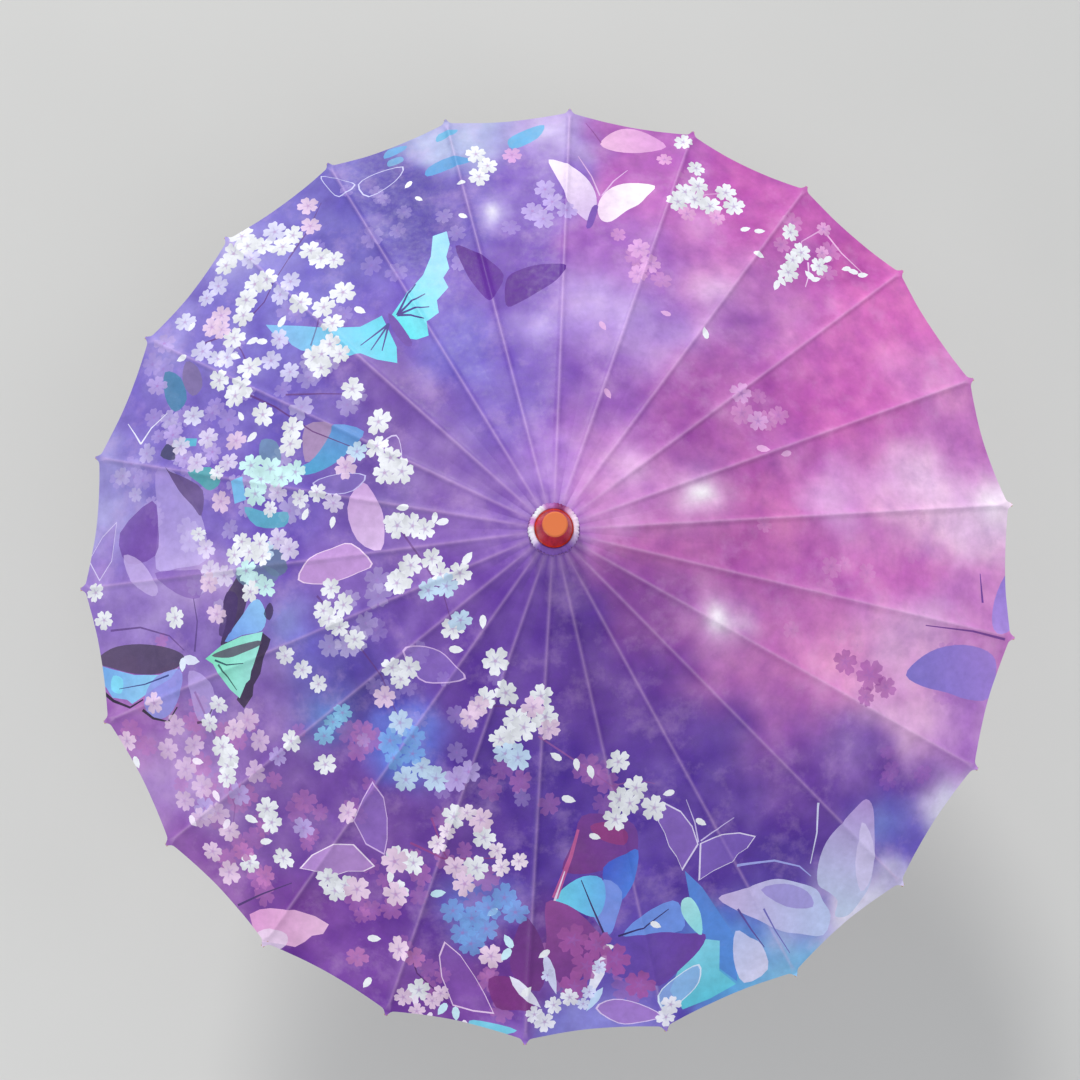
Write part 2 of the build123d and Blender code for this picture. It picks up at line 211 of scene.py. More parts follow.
def background(x, y):
    """Background colours, scene-linear, at arrays of places in millimetres."""
    bend = stirred(x, y, BEND_SCALE, 3.1)
    fine = stirred(x, y, FINE_SCALE, 7.7)
    bx = x + BEND * bend[:, 0] + FINE * fine[:, 0]
    by = y + BEND * bend[:, 1] + FINE * fine[:, 1]
    total = np.zeros((len(x), 3))
    weights = np.zeros(len(x))
    for wash_x, wash_y, spread, *colour in WASHES:
        weight = np.exp(-((bx - wash_x) ** 2 + (by - wash_y) ** 2) / spread ** 2) + 1e-9
        total += weight[:, None] * np.array(colour)
        weights += weight
    shown = total / weights[:, None]
    grey = shown.mean(axis=1)[:, None]
    shown = grey + SATURATION * (shown - grey) - DARKENING
    cloud = BEND_CLOUD * bend[:, 2] + FINE_CLOUD * fine[:, 2]
    shown = shown + cloud[:, None] * np.array(CLOUD_TINT)
    gx = x + GLOW_BEND * (bx - x)
    gy = y + GLOW_BEND * (by - y)
    for glow_x, glow_y, radius, strength, *colour in GLOWS:
        share = strength * np.exp(-((gx - glow_x) ** 2 + (gy - glow_y) ** 2) / radius ** 2)
        shown += share[:, None] * (np.array(colour) - shown)
    return srgb(*np.clip(shown, 0, 1).T).T


CURVE_STEPS = 3  # points drawn from one given point to the next

motifs = []  # (outline, colour, colour at the far end or None, strength), painted in order


def at(*numbers):
    """Places from a run of x,y numbers, written with no space inside a pair."""
    return list(zip(numbers[::2], numbers[1::2]))


def shape(outline, colour, strength=1.0, far=None):
    """Adds one filled outline. far is the colour at its last-drawn end, for a wash across it."""
    motifs.append((outline, srgb(*colour), None if far is None else srgb(*far), strength))


def curve(*numbers):
    """Closed Catmull-Rom curve through listed points, given as a run of x,y numbers."""
    points = np.array(at(*numbers), float)
    found = []
    for i in range(len(points)):
        a, b, c, d = (points[(i + k) % len(points)] for k in (-1, 0, 1, 2))
        for k in range(CURVE_STEPS):
            t = k / CURVE_STEPS
            square, cube = 2 * a - 5 * b + 4 * c - d, 3 * b - a - 3 * c + d
            found.append(tuple((2 * b + (c - a) * t + square * t ** 2 + cube * t ** 3) / 2))
    return found


def stroke(points, width, colour, strength=1.0, taper=0.4):
    """Adds a thin line that narrows towards its end."""
    left, right = [], []
    count = len(points)
    for i, (x, y) in enumerate(points):
        ahead = points[min(i + 1, count - 1)]
        behind = points[max(i - 1, 0)]
        dx, dy = ahead[0] - behind[0], ahead[1] - behind[1]
        length = math.hypot(dx, dy)
        half = width / 2 * (1 - (1 - taper) * i / (count - 1))
        left.append((x - dy / length * half, y + dx / length * half))
        right.append((x + dy / length * half, y - dx / length * half))
    shape(left + right[::-1], colour, strength)


def vein(start, end, lift, width, colour):
    """Adds a line with its middle a little above the straight one."""
    middle = ((start[0] + end[0]) / 2, (start[1] + end[1]) / 2 + lift)
    stroke([start, middle, end], width, colour)


def leaf(start, end, width, colour, strength=1.0):
    """Adds a pointed leaf or a long petal between two places."""
    dx, dy = end[0] - start[0], end[1] - start[1]
    length = math.hypot(dx, dy)
    outline = []
    for along, side in LEAF:
        reach = side * width / length
        outline.append((start[0] + along * dx - reach * dy, start[1] + along * dy + reach * dx))
    shape(outline, colour, strength)


def outlined(points, width, line, fill=None, strength=0.6):
    """Adds a shape with a drawn edge: the fill first, then one thin quad along each side."""
    centre = np.mean(np.array(points, float), axis=0)
    reach = max(math.hypot(x - centre[0], y - centre[1]) for x, y in points)
    shrink = 1 - width / reach * 1.6
    inner = [tuple(centre + (np.array(p) - centre) * shrink) for p in points]
    if fill is not None:
        shape(points, fill, strength)
    for i, start in enumerate(points):
        after = (i + 1) % len(points)
        shape([start, points[after], inner[after], inner[i]], line)


WHITE = (.93, .94, .96)
PINK_WHITE = (.93, .82, .92)
BLUE_WHITE = (.78, .88, .97)
MINT_WHITE = (.80, .95, .95)
LILAC = (.74, .66, .90)
MAUVE = (.76, .47, .74)
DUSK = (.56, .42, .76)

# A petal's edge in a blossom: steps round from its middle, share of the blossom's radius
PETAL_RIM = at(-0.5,0.50, -0.38,0.84, -0.20,1.0, 0.0,0.90, 0.20,1.0, 0.38,0.84)
# Outlines of a leaf and a loose petal: along it, across it
LEAF = at(0,0, .2,.36, .45,.5, .75,.32, 1,0, .75,-.32, .45,-.5, .2,-.36)
LOOSE_PETAL = at(1.1,0, .5,.42, -.2,.55, -.8,.35, -1,0, -.8,-.35, -.2,-.55, .5,-.42)
BLOSSOM_GROWTH = 1.2
HAZE_RIM = 405  # millimetres from the shaft


def spun(x, y, across, up, turn):
    """A place at (across, up) from (x, y), turned about it."""
    c, s = math.cos(turn), math.sin(turn)
    return (x + across * c - up * s, y + across * s + up * c)


def blossom(x, y, size=10.0, colour=WHITE, strength=1.0):
    """Five notched petals with a lilac star and a darker eye."""
    size *= BLOSSOM_GROWTH
    turn = rng.uniform(0, 2 * math.pi)
    squeeze = rng.uniform(0.82, 1.0)
    lean = rng.uniform(0, math.pi)
    rims, star, eye = [], [], []

    def place(radius, step):
        angle = turn + step * 0.4 * math.pi - lean
        return spun(x, y, radius * math.cos(angle), squeeze * radius * math.sin(angle), lean)

    for number in range(5):
        grown = size * rng.uniform(0.90, 1.06)
        rims += [place(grown * reach, number + step) for step, reach in PETAL_RIM]
        star += [place(size * 0.48, number), place(size * 0.15, number + 0.5)]
        eye.append(place(size * 0.13, number))
    shape(rims, colour, strength, far=tuple(0.90 * c for c in colour))
    shape(star, DUSK, 0.30 * strength)
    shape(eye, (.66, .36, .66), 0.40 * strength)


def petal(x, y, size=6.0, colour=WHITE, strength=1.0):
    """One loose petal or bud."""
    turn = rng.uniform(0, 2 * math.pi)
    outline = [spun(x, y, along * size, across * size, turn) for along, across in LOOSE_PETAL]
    shape(outline, colour, strength)


def blossoms(places, size=10.0, colour=WHITE, strength=1.0):
    for x, y in places:
        blossom(x, y, size * rng.uniform(0.92, 1.08), colour, strength)


def petals(places, size=5.5, colour=WHITE, strength=1.0):
    for x, y in places:
        petal(x, y, size * rng.uniform(0.85, 1.1), colour, strength)


def haze(places, spread, count, size, colour, strength):
    """Faint blossoms scattered round a few places, behind the clear ones."""
    for x, y in places:
        for _ in range(count):
            px, py = rng.gauss(x, spread), rng.gauss(y, spread)
            if math.hypot(px, py) < HAZE_RIM:
                blossom(px, py, size * rng.uniform(0.7, 1.15), colour, strength * rng.uniform(0.6, 1.2))


def draw_haze():
    haze(at(-300,170, -330,60, -240,200, -290,110), 32, 7, 9, LILAC, .40)
    haze(at(-170,250, -120,330, -60,300, 20,310), 26, 5, 9, LILAC, .35)
    haze(at(-240,60, -180,180, -180,-60, -300,0, -360,120), 24, 7, 9, (.84, .80, .94), .42)
    haze(at(-280,-150, -310,-210, -250,-230, -350,-90), 26, 9, 9, MAUVE, .45)
    haze(at(-120,-250, -170,-300, -90,-340, -180,-180), 28, 8, 9, MAUVE, .42)
    haze(at(-80,-110, -100,-170, -150,-110), 24, 5, 8, LILAC, .35)
    haze(at(-40,-200, 10,-200, -20,-340, 20,-370), 22, 4, 11, MAUVE, .38)
    haze(at(110,250, 190,90, 180,310, 270,250), 20, 4, 9, (.88, .62, .84), .45)
    haze(at(300,-20, 330,-70, 260,-100, 240,-30), 26, 3, 8, (.88, .64, .84), .25)
    haze(at(330,-150, 290,-210), 22, 4, 9, (.66, .40, .76), .30)


def draw_large_wings():
    # Upper-left turquoise butterfly
    shape(at(-121,212, -107,230, -91,249, -83,268, -80,290, -67,293, -65,279, -69,266, -67,253, -73,244,
        -69,233, -80,221, -79,208, -90,200, -89,186, -100,184, -109,187, -116,197), (.40, .88, .92),
        far=(.60, .85, .96))
    shape(at(-130,213, -150,205, -180,208, -205,215, -239,223, -232,213, -222,210, -214,198, -205,191,
        -192,187, -168,177, -150,178, -136,170, -118,164, -118,180), (.42, .84, .92),
        far=(.52, .74, .92))
    for end in at(-98,240, -90,229, -87,215, -92,203):
        vein((-116, 211), end, 2, 2.6, (.30, .25, .55))
    for end in at(-150,186, -141,180, -131,178):
        vein((-124, 204), end, 0, 2.2, (.32, .28, .58))
    shape(curve(-124,214, -116,206, -104,182, -110,180, -121,198), (.45, .32, .66))
    # Dusky silhouette beside it
    shape(curve(-60,276, -45,268, -31,256, -19,239, -27,221, -34,214, -45,230, -53,248),
        (.32, .08, .52), .95, far=(.38, .16, .60))
    shape(curve(-20,217, -16,236, -2,244, 16,247, 37,243, 27,229, 10,219, -7,210, -18,206),
        (.34, .11, .54), .95, far=(.36, .14, .58))
    # Pale butterfly near the top
    shape(curve(34,363, 52,354, 66,340, 73,322, 72,305, 64,290, 53,300, 46,312, 44,326, 38,345),
        (.96, .90, .97), far=(.82, .72, .90))
    shape(curve(78,316, 90,327, 107,331, 130,326, 121,315, 112,306, 100,300, 84,289, 75,291, 73,303),
        (.94, .84, .94), far=(.98, .96, .98))
    shape(curve(74,306, 66,285, 60,284, 68,305), (.46, .30, .68))
    stroke(at(77,318, 72,340, 62,364), 1.6, (.86, .70, .88))
    stroke(at(79,318, 92,334, 107,346), 1.6, (.86, .70, .88))
    # Pink wing at the upper rim
    shape(curve(85,378, 97,391, 114,396, 133,388, 148,371, 123,366, 99,369), (.93, .74, .88), .9,
        far=(.86, .62, .84))
    stroke(at(86,380, 80,393, 74,404), 1.6, (.55, .30, .60))
    # Cyan flecks along the upper rim
    shape(curve(2,380, 26,390, 34,405, 16,402, -2,392), (.30, .68, .86), .85)
    shape(curve(-82,358, -60,362, -38,370, -58,376, -80,368), (.30, .62, .84), .85)
    shape(curve(-70,396, -54,402, -50,408, -68,405), (.32, .70, .86), .8)
    shape(curve(-122,386, -104,392, -100,398, -118,396), (.34, .66, .86), .8)
    shape(curve(-118,376, -104,380, -106,386, -118,383), (.40, .70, .86), .7)
    outlined(curve(-150,358, -166,366, -184,374, -178,360, -166,346), 1.0, (.80, .80, .95))
    outlined(curve(-148,358, -130,370, -104,374, -112,358, -138,342), 1.0, (.80, .80, .95))
    draw_left_wings()
    draw_lower_wings()
    draw_right_wings()


def draw_left_wings():
    # Dark-edged butterfly at the far left
    ink = (.20, .15, .25)
    shape(curve(-266,-2, -276,-12, -286,-26, -284,-42, -291,-62, -282,-62, -268,-38, -263,-20), ink,
        .85)
    shape(at(-252,-55, -244,-62, -247,-70, -252,-78, -256,-90, -263,-99, -265,-108, -274,-118,
        -280,-110, -270,-95, -262,-84, -258,-70), ink, .92)
    shape(at(-306,-73, -290,-63, -271,-57, -251,-55, -253,-62, -258,-76, -264,-87, -266,-94, -270,-97,
        -277,-109, -285,-101, -292,-90, -299,-78), (.48, .86, .72), far=(.60, .88, .84))
    shape(curve(-287,-60, -268,-38, -260,-29, -252,-28, -247,-42, -252,-54, -270,-56), (.42, .58, .88),
        far=(.56, .76, .94))
    shape(curve(-243,-31, -240,-38, -244,-46, -249,-40), ink, .8)
    shape(curve(-300,-71, -284,-66, -256,-62, -254,-66, -270,-71, -284,-74), (.34, .28, .38), .9)
    stroke(at(-297,-75, -286,-80, -270,-80), 1.8, (.20, .34, .38))
    stroke(at(-294,-79, -286,-90, -279,-102), 1.8, (.24, .42, .40))
    shape(curve(-415,-66, -399,-56, -377,-54, -354,-57, -335,-63, -326,-70, -333,-78, -352,-82,
        -376,-80, -399,-73), (.36, .30, .42), .95, far=(.30, .25, .38))
    shape(at(-416,-68, -399,-74, -376,-81, -352,-83, -333,-79, -340,-87, -354,-93, -367,-100, -379,-106,
        -384,-102, -399,-99, -405,-90, -413,-82), (.42, .62, .88), far=(.56, .80, .94))
    shape(curve(-354,-84, -331,-80, -330,-96, -340,-114, -352,-121, -364,-116, -366,-100),
        (.56, .58, .88), .85)
    shape(curve(-398,-80, -388,-84, -390,-96, -400,-92), (.50, .84, .94), .9)
    stroke(at(-408,-94, -398,-102, -381,-109, -368,-103), 3.2, ink)
    stroke(at(-369,-112, -360,-120, -346,-124, -336,-112), 2.8, ink)
    stroke(at(-342,-84, -366,-90, -392,-92), 1.6, (.26, .30, .55))
    shape(curve(-322,-82, -306,-89, -300,-104, -307,-126, -318,-124, -322,-102), (.74, .66, .90), .6)
    stroke(at(-319,-127, -310,-126, -302,-114), 2.4, ink, .8)
    petal(-320, -73, 8, (.86, .88, .96))
    petal(-328, -76, 6, (.86, .90, .96))
    stroke(at(-398,-40, -368,-40, -340,-50, -326,-64), 2.0, (.36, .24, .50), .8)
    stroke(at(-316,-66, -312,-40, -314,-20), 1.8, (.34, .24, .50), .8)
    # Wings and leaves among the left blossoms
    shape(curve(-347,96, -332,98, -320,83, -310,64, -302,45, -300,12, -327,8, -349,10, -347,53),
        (.68, .60, .86), .55, far=(.80, .74, .94))
    shape(curve(-338,104, -333,96, -318,88, -301,74, -304,52, -312,62, -325,78), (.34, .25, .45), .9,
        far=(.42, .34, .56))
    shape(curve(-342,112, -334,124, -324,122, -328,106), (.24, .26, .36), .85)
    shape(curve(-386,47, -352,72, -347,48, -350,22, -378,18), (.42, .24, .62), .75)
    shape(curve(-350,6, -320,5, -304,2, -308,-20, -330,-14), (.48, .32, .68), .6)
    shape(curve(-314,92, -293,94, -283,80, -294,73, -304,81), (.30, .66, .68), .9)
    shape(at(-330,127, -306,123, -307,116, -329,118), (.32, .72, .80), .85)
    shape(at(-273,78, -262,81, -260,60, -271,58), (.46, .76, .93), .9)
    shape(curve(-244,112, -230,108, -226,90, -238,84, -246,96), (.42, .56, .68), .8)
    shape(curve(-338,192, -322,184, -316,162, -328,152, -338,168), (.26, .52, .66), .85)
    shape(curve(-316,198, -304,190, -300,172, -310,164, -320,180), (.50, .44, .62), .85)
    shape(curve(-248,18, -232,14, -224,-4, -236,-10, -246,0), (.38, .46, .58), .85)
    shape(curve(-282,-18, -272,-24, -280,-52, -292,-54, -288,-36), (.28, .20, .42), .8)
    shape(curve(-262,54, -240,46, -222,44, -226,32, -252,36), (.34, .70, .78), .8)
    shape(curve(-272,-2, -250,2, -232,-8, -246,-18, -266,-14), (.42, .52, .64), .7)
    outlined(curve(-216,-15, -204,2, -184,8, -166,10, -149,-9, -162,-15, -177,-19, -195,-21), 1.0,
        (.93, .82, .94), (.80, .62, .86), .8)
    shape(curve(-154,61, -141,42, -137,25, -141,1, -161,12, -168,40), (.82, .66, .86), .8,
        far=(.90, .78, .93))
    shape(curve(-176,115, -150,105, -163,90, -181,79, -202,74, -218,80, -200,85, -188,98),
        (.36, .58, .82), .9, far=(.30, .66, .82))
    shape(curve(-203,118, -178,115, -190,94, -204,86), (.66, .55, .70), .9)
    outlined(curve(-198,66, -174,71, -150,66, -162,54, -184,54), 1.0, (.76, .74, .92), (.50, .42, .72),
        .7)
    outlined(curve(-134,92, -122,98, -118,82, -120,62, -130,72), 1.0, (.84, .78, .94))
    outlined(at(-418,25, -406,5, -394,22, -389,58, -404,46), 1.0, (.84, .80, .94), DUSK, .3)
    stroke(at(-362,126, -352,140, -336,152), 1.6, (.90, .90, .98))
    stroke(at(-362,126, -368,136, -376,148), 1.6, (.90, .90, .98))
    shape(curve(-382,26, -364,18, -348,-6, -354,-14, -374,2), (.80, .72, .92), .6)


def draw_lower_wings():
    line = (.82, .70, .90)
    outlined(curve(-130,-82, -116,-79, -99,-85, -88,-97, -80,-109, -101,-111, -119,-106), 1.2, line,
        (.56, .44, .78), .5)
    outlined(at(-166,-186, -158,-200, -157,-218, -159,-236, -163,-249, -178,-239, -182,-228, -186,-218,
        -176,-200), 1.2, line, (.58, .44, .78), .6)
    outlined(at(-238,-256, -226,-245, -205,-236, -188,-238, -172,-258, -182,-262, -196,-261, -208,-264,
        -221,-259), 1.2, (.93, .86, .95), (.72, .56, .82), .8)
    outlined(at(-120,-326, -108,-339, -97,-360, -90,-376, -84,-393, -102,-390, -119,-384, -126,-357,
        -126,-338), 1.3, (.90, .78, .92), (.54, .34, .70), .5)
    # Outlined butterfly
    outlined(at(72,-224, 86,-233, 95,-247, 99,-263, 84,-284, 80,-272, 74,-262, 71,-250, 66,-239), 1.3,
        (.86, .82, .94), (.58, .44, .78), .6)
    outlined(at(100,-262, 118,-256, 135,-257, 149,-262, 141,-271, 132,-275, 126,-281, 110,-287,
        97,-294), 1.3, (.86, .82, .94), (.54, .42, .78), .6)
    stroke(at(99,-261, 97,-244, 91,-224), 1.3, (.80, .74, .92))
    stroke(at(101,-260, 114,-252, 131,-244), 1.3, (.80, .74, .92))
    # Pink wing at the lower-left rim
    shape(at(-288,-294, -278,-290, -268,-289, -246,-291, -229,-298, -218,-306, -224,-314, -234,-315,
        -241,-320, -250,-324, -264,-320, -284,-316), (.84, .58, .80), far=(.92, .74, .88))
    shape(curve(-284,-312, -270,-306, -256,-312, -258,-322, -272,-326), (.93, .86, .95), .7)
    # Blue and magenta butterfly at the bottom
    shape(curve(-16,-272, -5,-250, 4,-229, 26,-230, 46,-240, 48,-259, 40,-272, 18,-276, 0,-278),
        (.46, .20, .52), far=(.44, .24, .60))
    shape(curve(10,-238, 26,-236, 40,-246, 36,-256, 18,-250), (.60, .22, .48), .7)
    shape(curve(18,-274, 36,-264, 48,-262, 43,-286, 30,-304, 20,-296), (.24, .34, .78),
        far=(.30, .50, .88))
    shape(curve(4,-302, 18,-284, 32,-296, 26,-318, 19,-332, 10,-322), (.46, .58, .90), .95)
    shape(curve(-24,-298, -16,-288, 1,-280, 16,-283, 18,-300, 11,-315, 0,-313, -14,-303),
        (.44, .84, .94), far=(.40, .70, .93))
    stroke(at(-24,-296, -17,-281, -8,-262, 0,-240), 5.5, (.78, .36, .60), .85)
    stroke(at(-25,-299, -20,-288, -14,-274), 2.0, (.92, .84, .94))
    shape(curve(30,-334, 46,-318, 74,-308, 82,-320, 80,-335, 50,-335), (.44, .60, .92), .9)
    shape(at(86,-284, 100,-300, 126,-347, 125,-386, 110,-372, 98,-350, 90,-320), (.33, .54, .86), .9)
    shape(at(95,-344, 112,-348, 110,-374, 124,-388, 100,-398, 76,-404, 66,-386, 76,-366),
        (.52, .84, .92), .95, far=(.36, .78, .86))
    shape(curve(-50,-309, -60,-325, -66,-343, -64,-361, -44,-375, -36,-350, -40,-326), (.41, .19, .51),
        far=(.45, .20, .53))
    shape(curve(-86,-362, -64,-363, -50,-388, -64,-390, -82,-387), (.48, .18, .50), .95)
    shape(curve(-32,-299, -16,-302, -3,-313, 8,-327, 18,-342, 8,-356, -12,-371, -22,-376, -37,-350,
        -34,-330), (.58, .29, .60), far=(.45, .21, .54))
    shape(curve(14,-338, 30,-335, 62,-334, 82,-338, 100,-341, 94,-354, 74,-370, 58,-380, 42,-372,
        21,-368), (.38, .28, .68), far=(.42, .25, .64))
    stroke(at(14,-330, 6,-306, -1,-283), 1.8, (.20, .14, .38))
    stroke(at(26,-334, 48,-328, 70,-315), 1.8, (.20, .16, .42))
    leaf((-68, -360), (-44, -390), 10, (.90, .90, .97), .95)
    leaf((-37, -342), (-30, -380), 9, (.84, .86, .98), .95)
    leaf((15, -347), (-3, -386), 11, (.92, .92, .98), .95)
    leaf((10, -378), (-6, -398), 7, (.78, .88, .98), .9)
    # Pale leaves by the bottom rim
    shape(curve(82,-309, 90,-308, 97,-322, 97,-341, 88,-333, 81,-320), (.68, .92, .92), .95,
        far=(.56, .88, .90))
    outlined(curve(2,-396, 18,-389, 40,-395, 58,-407, 38,-412, 20,-411), 1.2, (.88, .80, .96),
        (.66, .48, .80), .8)
    outlined(curve(55,-388, 73,-374, 93,-366, 92,-382, 78,-395, 61,-403), 1.2, (.84, .90, .98),
        (.56, .70, .92), .8)
    shape(curve(-106,-398, -90,-400, -66,-408, -84,-412, -104,-408), (.46, .86, .94), .85)
    stroke(at(-298,-286, -275,-277, -246,-268), 2.0, (.30, .18, .44))
    stroke(at(-150,-330, -146,-352, -120,-384), 1.6, (.34, .16, .44))


def draw_right_wings():
    shape(curve(414,-62, 398,-78, 388,-100, 390,-114, 406,-112, 420,-96), (.54, .46, .84), .9,
        far=(.66, .56, .88))
    shape(curve(297,-142, 310,-130, 330,-122, 356,-121, 380,-129, 388,-143, 378,-170, 356,-169,
        336,-161, 312,-153), (.47, .44, .80), .95, far=(.64, .52, .86))
    stroke(at(381,-86, 382,-74, 383,-60), 2.2, (.46, .26, .62))
    stroke(at(398,-120, 366,-110, 320,-101), 2.2, (.50, .28, .62))
    for x, y, size in ((240, -125, 10), (262, -138, 12), (276, -150, 9), (256, -156, 8)):
        blossom(x, y, size, (.64, .30, .66), .6)
    # Large pale butterfly at the lower right
    shape(curve(250,-243, 256,-252, 255,-275, 252,-300, 248,-318, 240,-330, 228,-342, 216,-341,
        219,-328, 211,-319, 202,-311, 203,-294, 211,-275, 224,-261, 238,-250), (.71, .59, .84), .95,
        far=(.75, .81, .92))
    shape(curve(244,-262, 253,-280, 250,-310, 240,-322, 236,-296), (.84, .80, .94), .7)
    shape(curve(113,-311, 130,-306, 149,-302, 166,-301, 184,-307, 200,-315, 206,-327, 212,-340,
        204,-356, 182,-351, 166,-346, 147,-334, 131,-325), (.80, .72, .90), .95, far=(.74, .80, .95))
    shape(curve(150,-308, 172,-306, 192,-316, 196,-330, 172,-326), (.60, .54, .84), .75)
    shape(curve(126,-341, 138,-348, 148,-356, 152,-378, 131,-388, 123,-366), (.78, .80, .95), .9,
        far=(.86, .84, .95))
    stroke(at(205,-240, 203,-266, 196,-292), 1.8, (.84, .84, .96))
    stroke(at(130,-284, 164,-285, 186,-293, 196,-303), 2.2, (.62, .64, .90))
    stroke(at(129,-322, 140,-342, 150,-358), 1.8, (.36, .30, .62))
    stroke(at(151,-324, 160,-344, 172,-366), 1.6, (.44, .42, .74))


def draw_twigs():
    twig = (.38, .20, .46)
    stroke(at(-300,214, -268,222, -240,246, -216,288), 2.0, twig, .8)
    stroke(at(-216,288, -196,318, -184,344), 1.8, twig, .7)
    stroke(at(-262,160, -230,140, -196,112, -160,92), 2.0, twig, .8)
    stroke(at(-252,176, -262,200, -270,214), 1.8, twig, .7)
    stroke(at(-220,150, -186,146, -152,140), 1.8, twig, .8)
    stroke(at(-196,194, -184,226, -176,240), 1.6, twig, .6)
    stroke(at(-200,-30, -178,-58, -150,-100, -138,-140), 2.0, twig, .6)
    stroke(at(-126,20, -108,-10, -92,-40, -86,-70), 1.8, twig, .6)
    stroke(at(-78,-130, -50,-134, -22,-140), 1.8, twig, .6)
    stroke(at(-140,-240, -110,-256, -70,-258), 2.0, (.58, .26, .52), .8)
    stroke(at(-120,-220, -112,-250, -98,-280), 1.8, (.58, .26, .52), .7)
    stroke(at(-26,-160, 6,-186, 30,-206, 44,-226), 1.6, (.60, .34, .62), .7)
    stroke(at(30,-206, 52,-204, 66,-208), 1.2, (.60, .34, .62), .7)
    stroke(at(-318,-100, -300,-150, -290,-200, -300,-240), 2.0, (.50, .30, .58), .5)
    stroke(at(204,318, 178,316, 150,304), 1.6, (.88, .66, .86), .8)
    stroke(at(287,276, 262,262, 244,232), 1.6, (.90, .70, .88), .8)
    stroke(at(287,274, 300,250, 318,226), 2.0, (.93, .74, .90), .9)
    stroke(at(264,240, 262,226, 256,214), 1.8, (.93, .80, .93), .9)
    stroke(at(40,318, 24,306, 4,300), 1.4, (.80, .62, .86), .8)


def draw_blossoms():
    blossoms(at(-212,313, -222,302, -241,306, -262,320, -185,283, -173,279, -195,293, -249,266,
        -237,268, -258,252, -261,237, -270,215, -204,238, -183,230, -165,243, -193,182, -178,192,
        -175,212, -159,146, -137,112, -283,174, -263,163, -254,182, -268,157, -242,135, -270,302,
        -256,308, -278,292))
    blossoms(at(-187,171, -169,181, -186,184), 9)
    blossoms(at(-226,206, -234,186, -216,172, -298,262, -286,272, -252,292, -300,206, -224,250,
        -214,262), 9, (.86, .85, .97), .85)
    blossoms(at(-285,196, -276,196, -310,145, -319,240, -230,320), 9.5, (.90, .90, .99), .85)
    blossoms(at(-197,343, -195,320, -283,241, -283,226, -292,230), 9, PINK_WHITE, .85)
    blossoms(at(-338,220, -330,130, -318,106, -291,108, -346,180), 9, LILAC, .8)
    petals(at(-243,207, -252,209, -320,202, -223,223, -263,137, -253,116, -312,234, -150,222, -268,196))
    blossoms(at(-215,118, -217,104, -134,66, -119,65, -139,90, -128,78))
    blossoms(at(-157,88, -246,14), 9, BLUE_WHITE)
    blossoms(at(-168,76, -268,115, -284,62, -293,-36), 9, PINK_WHITE, .8)
    blossoms(at(-210,54, -194,57, -238,49, -286,88, -307,36), 7, WHITE, .9)
    blossoms(at(-276,96, -296,122, -306,100, -322,118, -232,22, -222,12, -300,22, -296,2, -283,-4,
        -230,62, -180,46), 8.5, (.90, .86, .96), .8)
    blossoms(at(-254,90, -245,76, -251,64, -226,75, -213,78, -236,84), 9.5, MINT_WHITE)
    blossoms(at(-273,13, -259,14, -247,9, -249,20, -266,24), 8.5, WHITE)
    blossoms(at(-246,-17, -254,-12, -262,-2), 8.5, MINT_WHITE)
    blossoms(at(-260,-20, -333,-35, -410,-5, -404,-30, -187,-25, -177,-40, -191,-50, -195,-43, -170,-69,
        -182,-58), 8.5)
    blossoms(at(-128,22, -127,-25, -130,-27, -126,20, -113,18, -103,14, -117,-14, -99,-11, -77,-25,
        -87,-68, -93,-24), 9)
    petals(at(-88,18, -94,22, -120,34, -182,30, -206,40, -62,-65, -86,-85, -70,-14))
    blossoms(at(-89,-34, -80,-62, -104,-36), 8.5, BLUE_WHITE)
    blossoms(at(-232,-77, -205,-103, -307,-128, -297,-113, -218,-90), 7.5, WHITE, .9)
    blossoms(at(-357,-107, -149,-118, -285,-135, -298,-8), 8.5, PINK_WHITE, .85)
    blossoms(at(-140,-95, -134,-105, -126,-96), 8.5, WHITE, .95)
    blossoms(at(-195,-135, -186,-128, -204,-146), 7.5, (.56, .80, .94), .85)
    blossoms(at(-55,-97, -49,-123, -66,-127, -21,-128, -19,-145, -43,-145, -50,-158, -37,-152,
        -57,-160), 9.5)
    blossoms(at(-80,-140, -17,-155, -72,-132, -28,-136), 8.5, PINK_WHITE, .9)
    blossoms(at(-138,-140, -54,-172, -138,-187, -113,-188, -44,-176, -124,-178), 9.5, BLUE_WHITE, .9)
    blossoms(at(-146,-168, -130,-166, -148,-154, -128,-152), 9, (.50, .70, .95), .8)
    blossoms(at(-85,-184, -96,-190), 10, LILAC, .9)
    draw_lower_blossoms()
    draw_upper_right_blossoms()


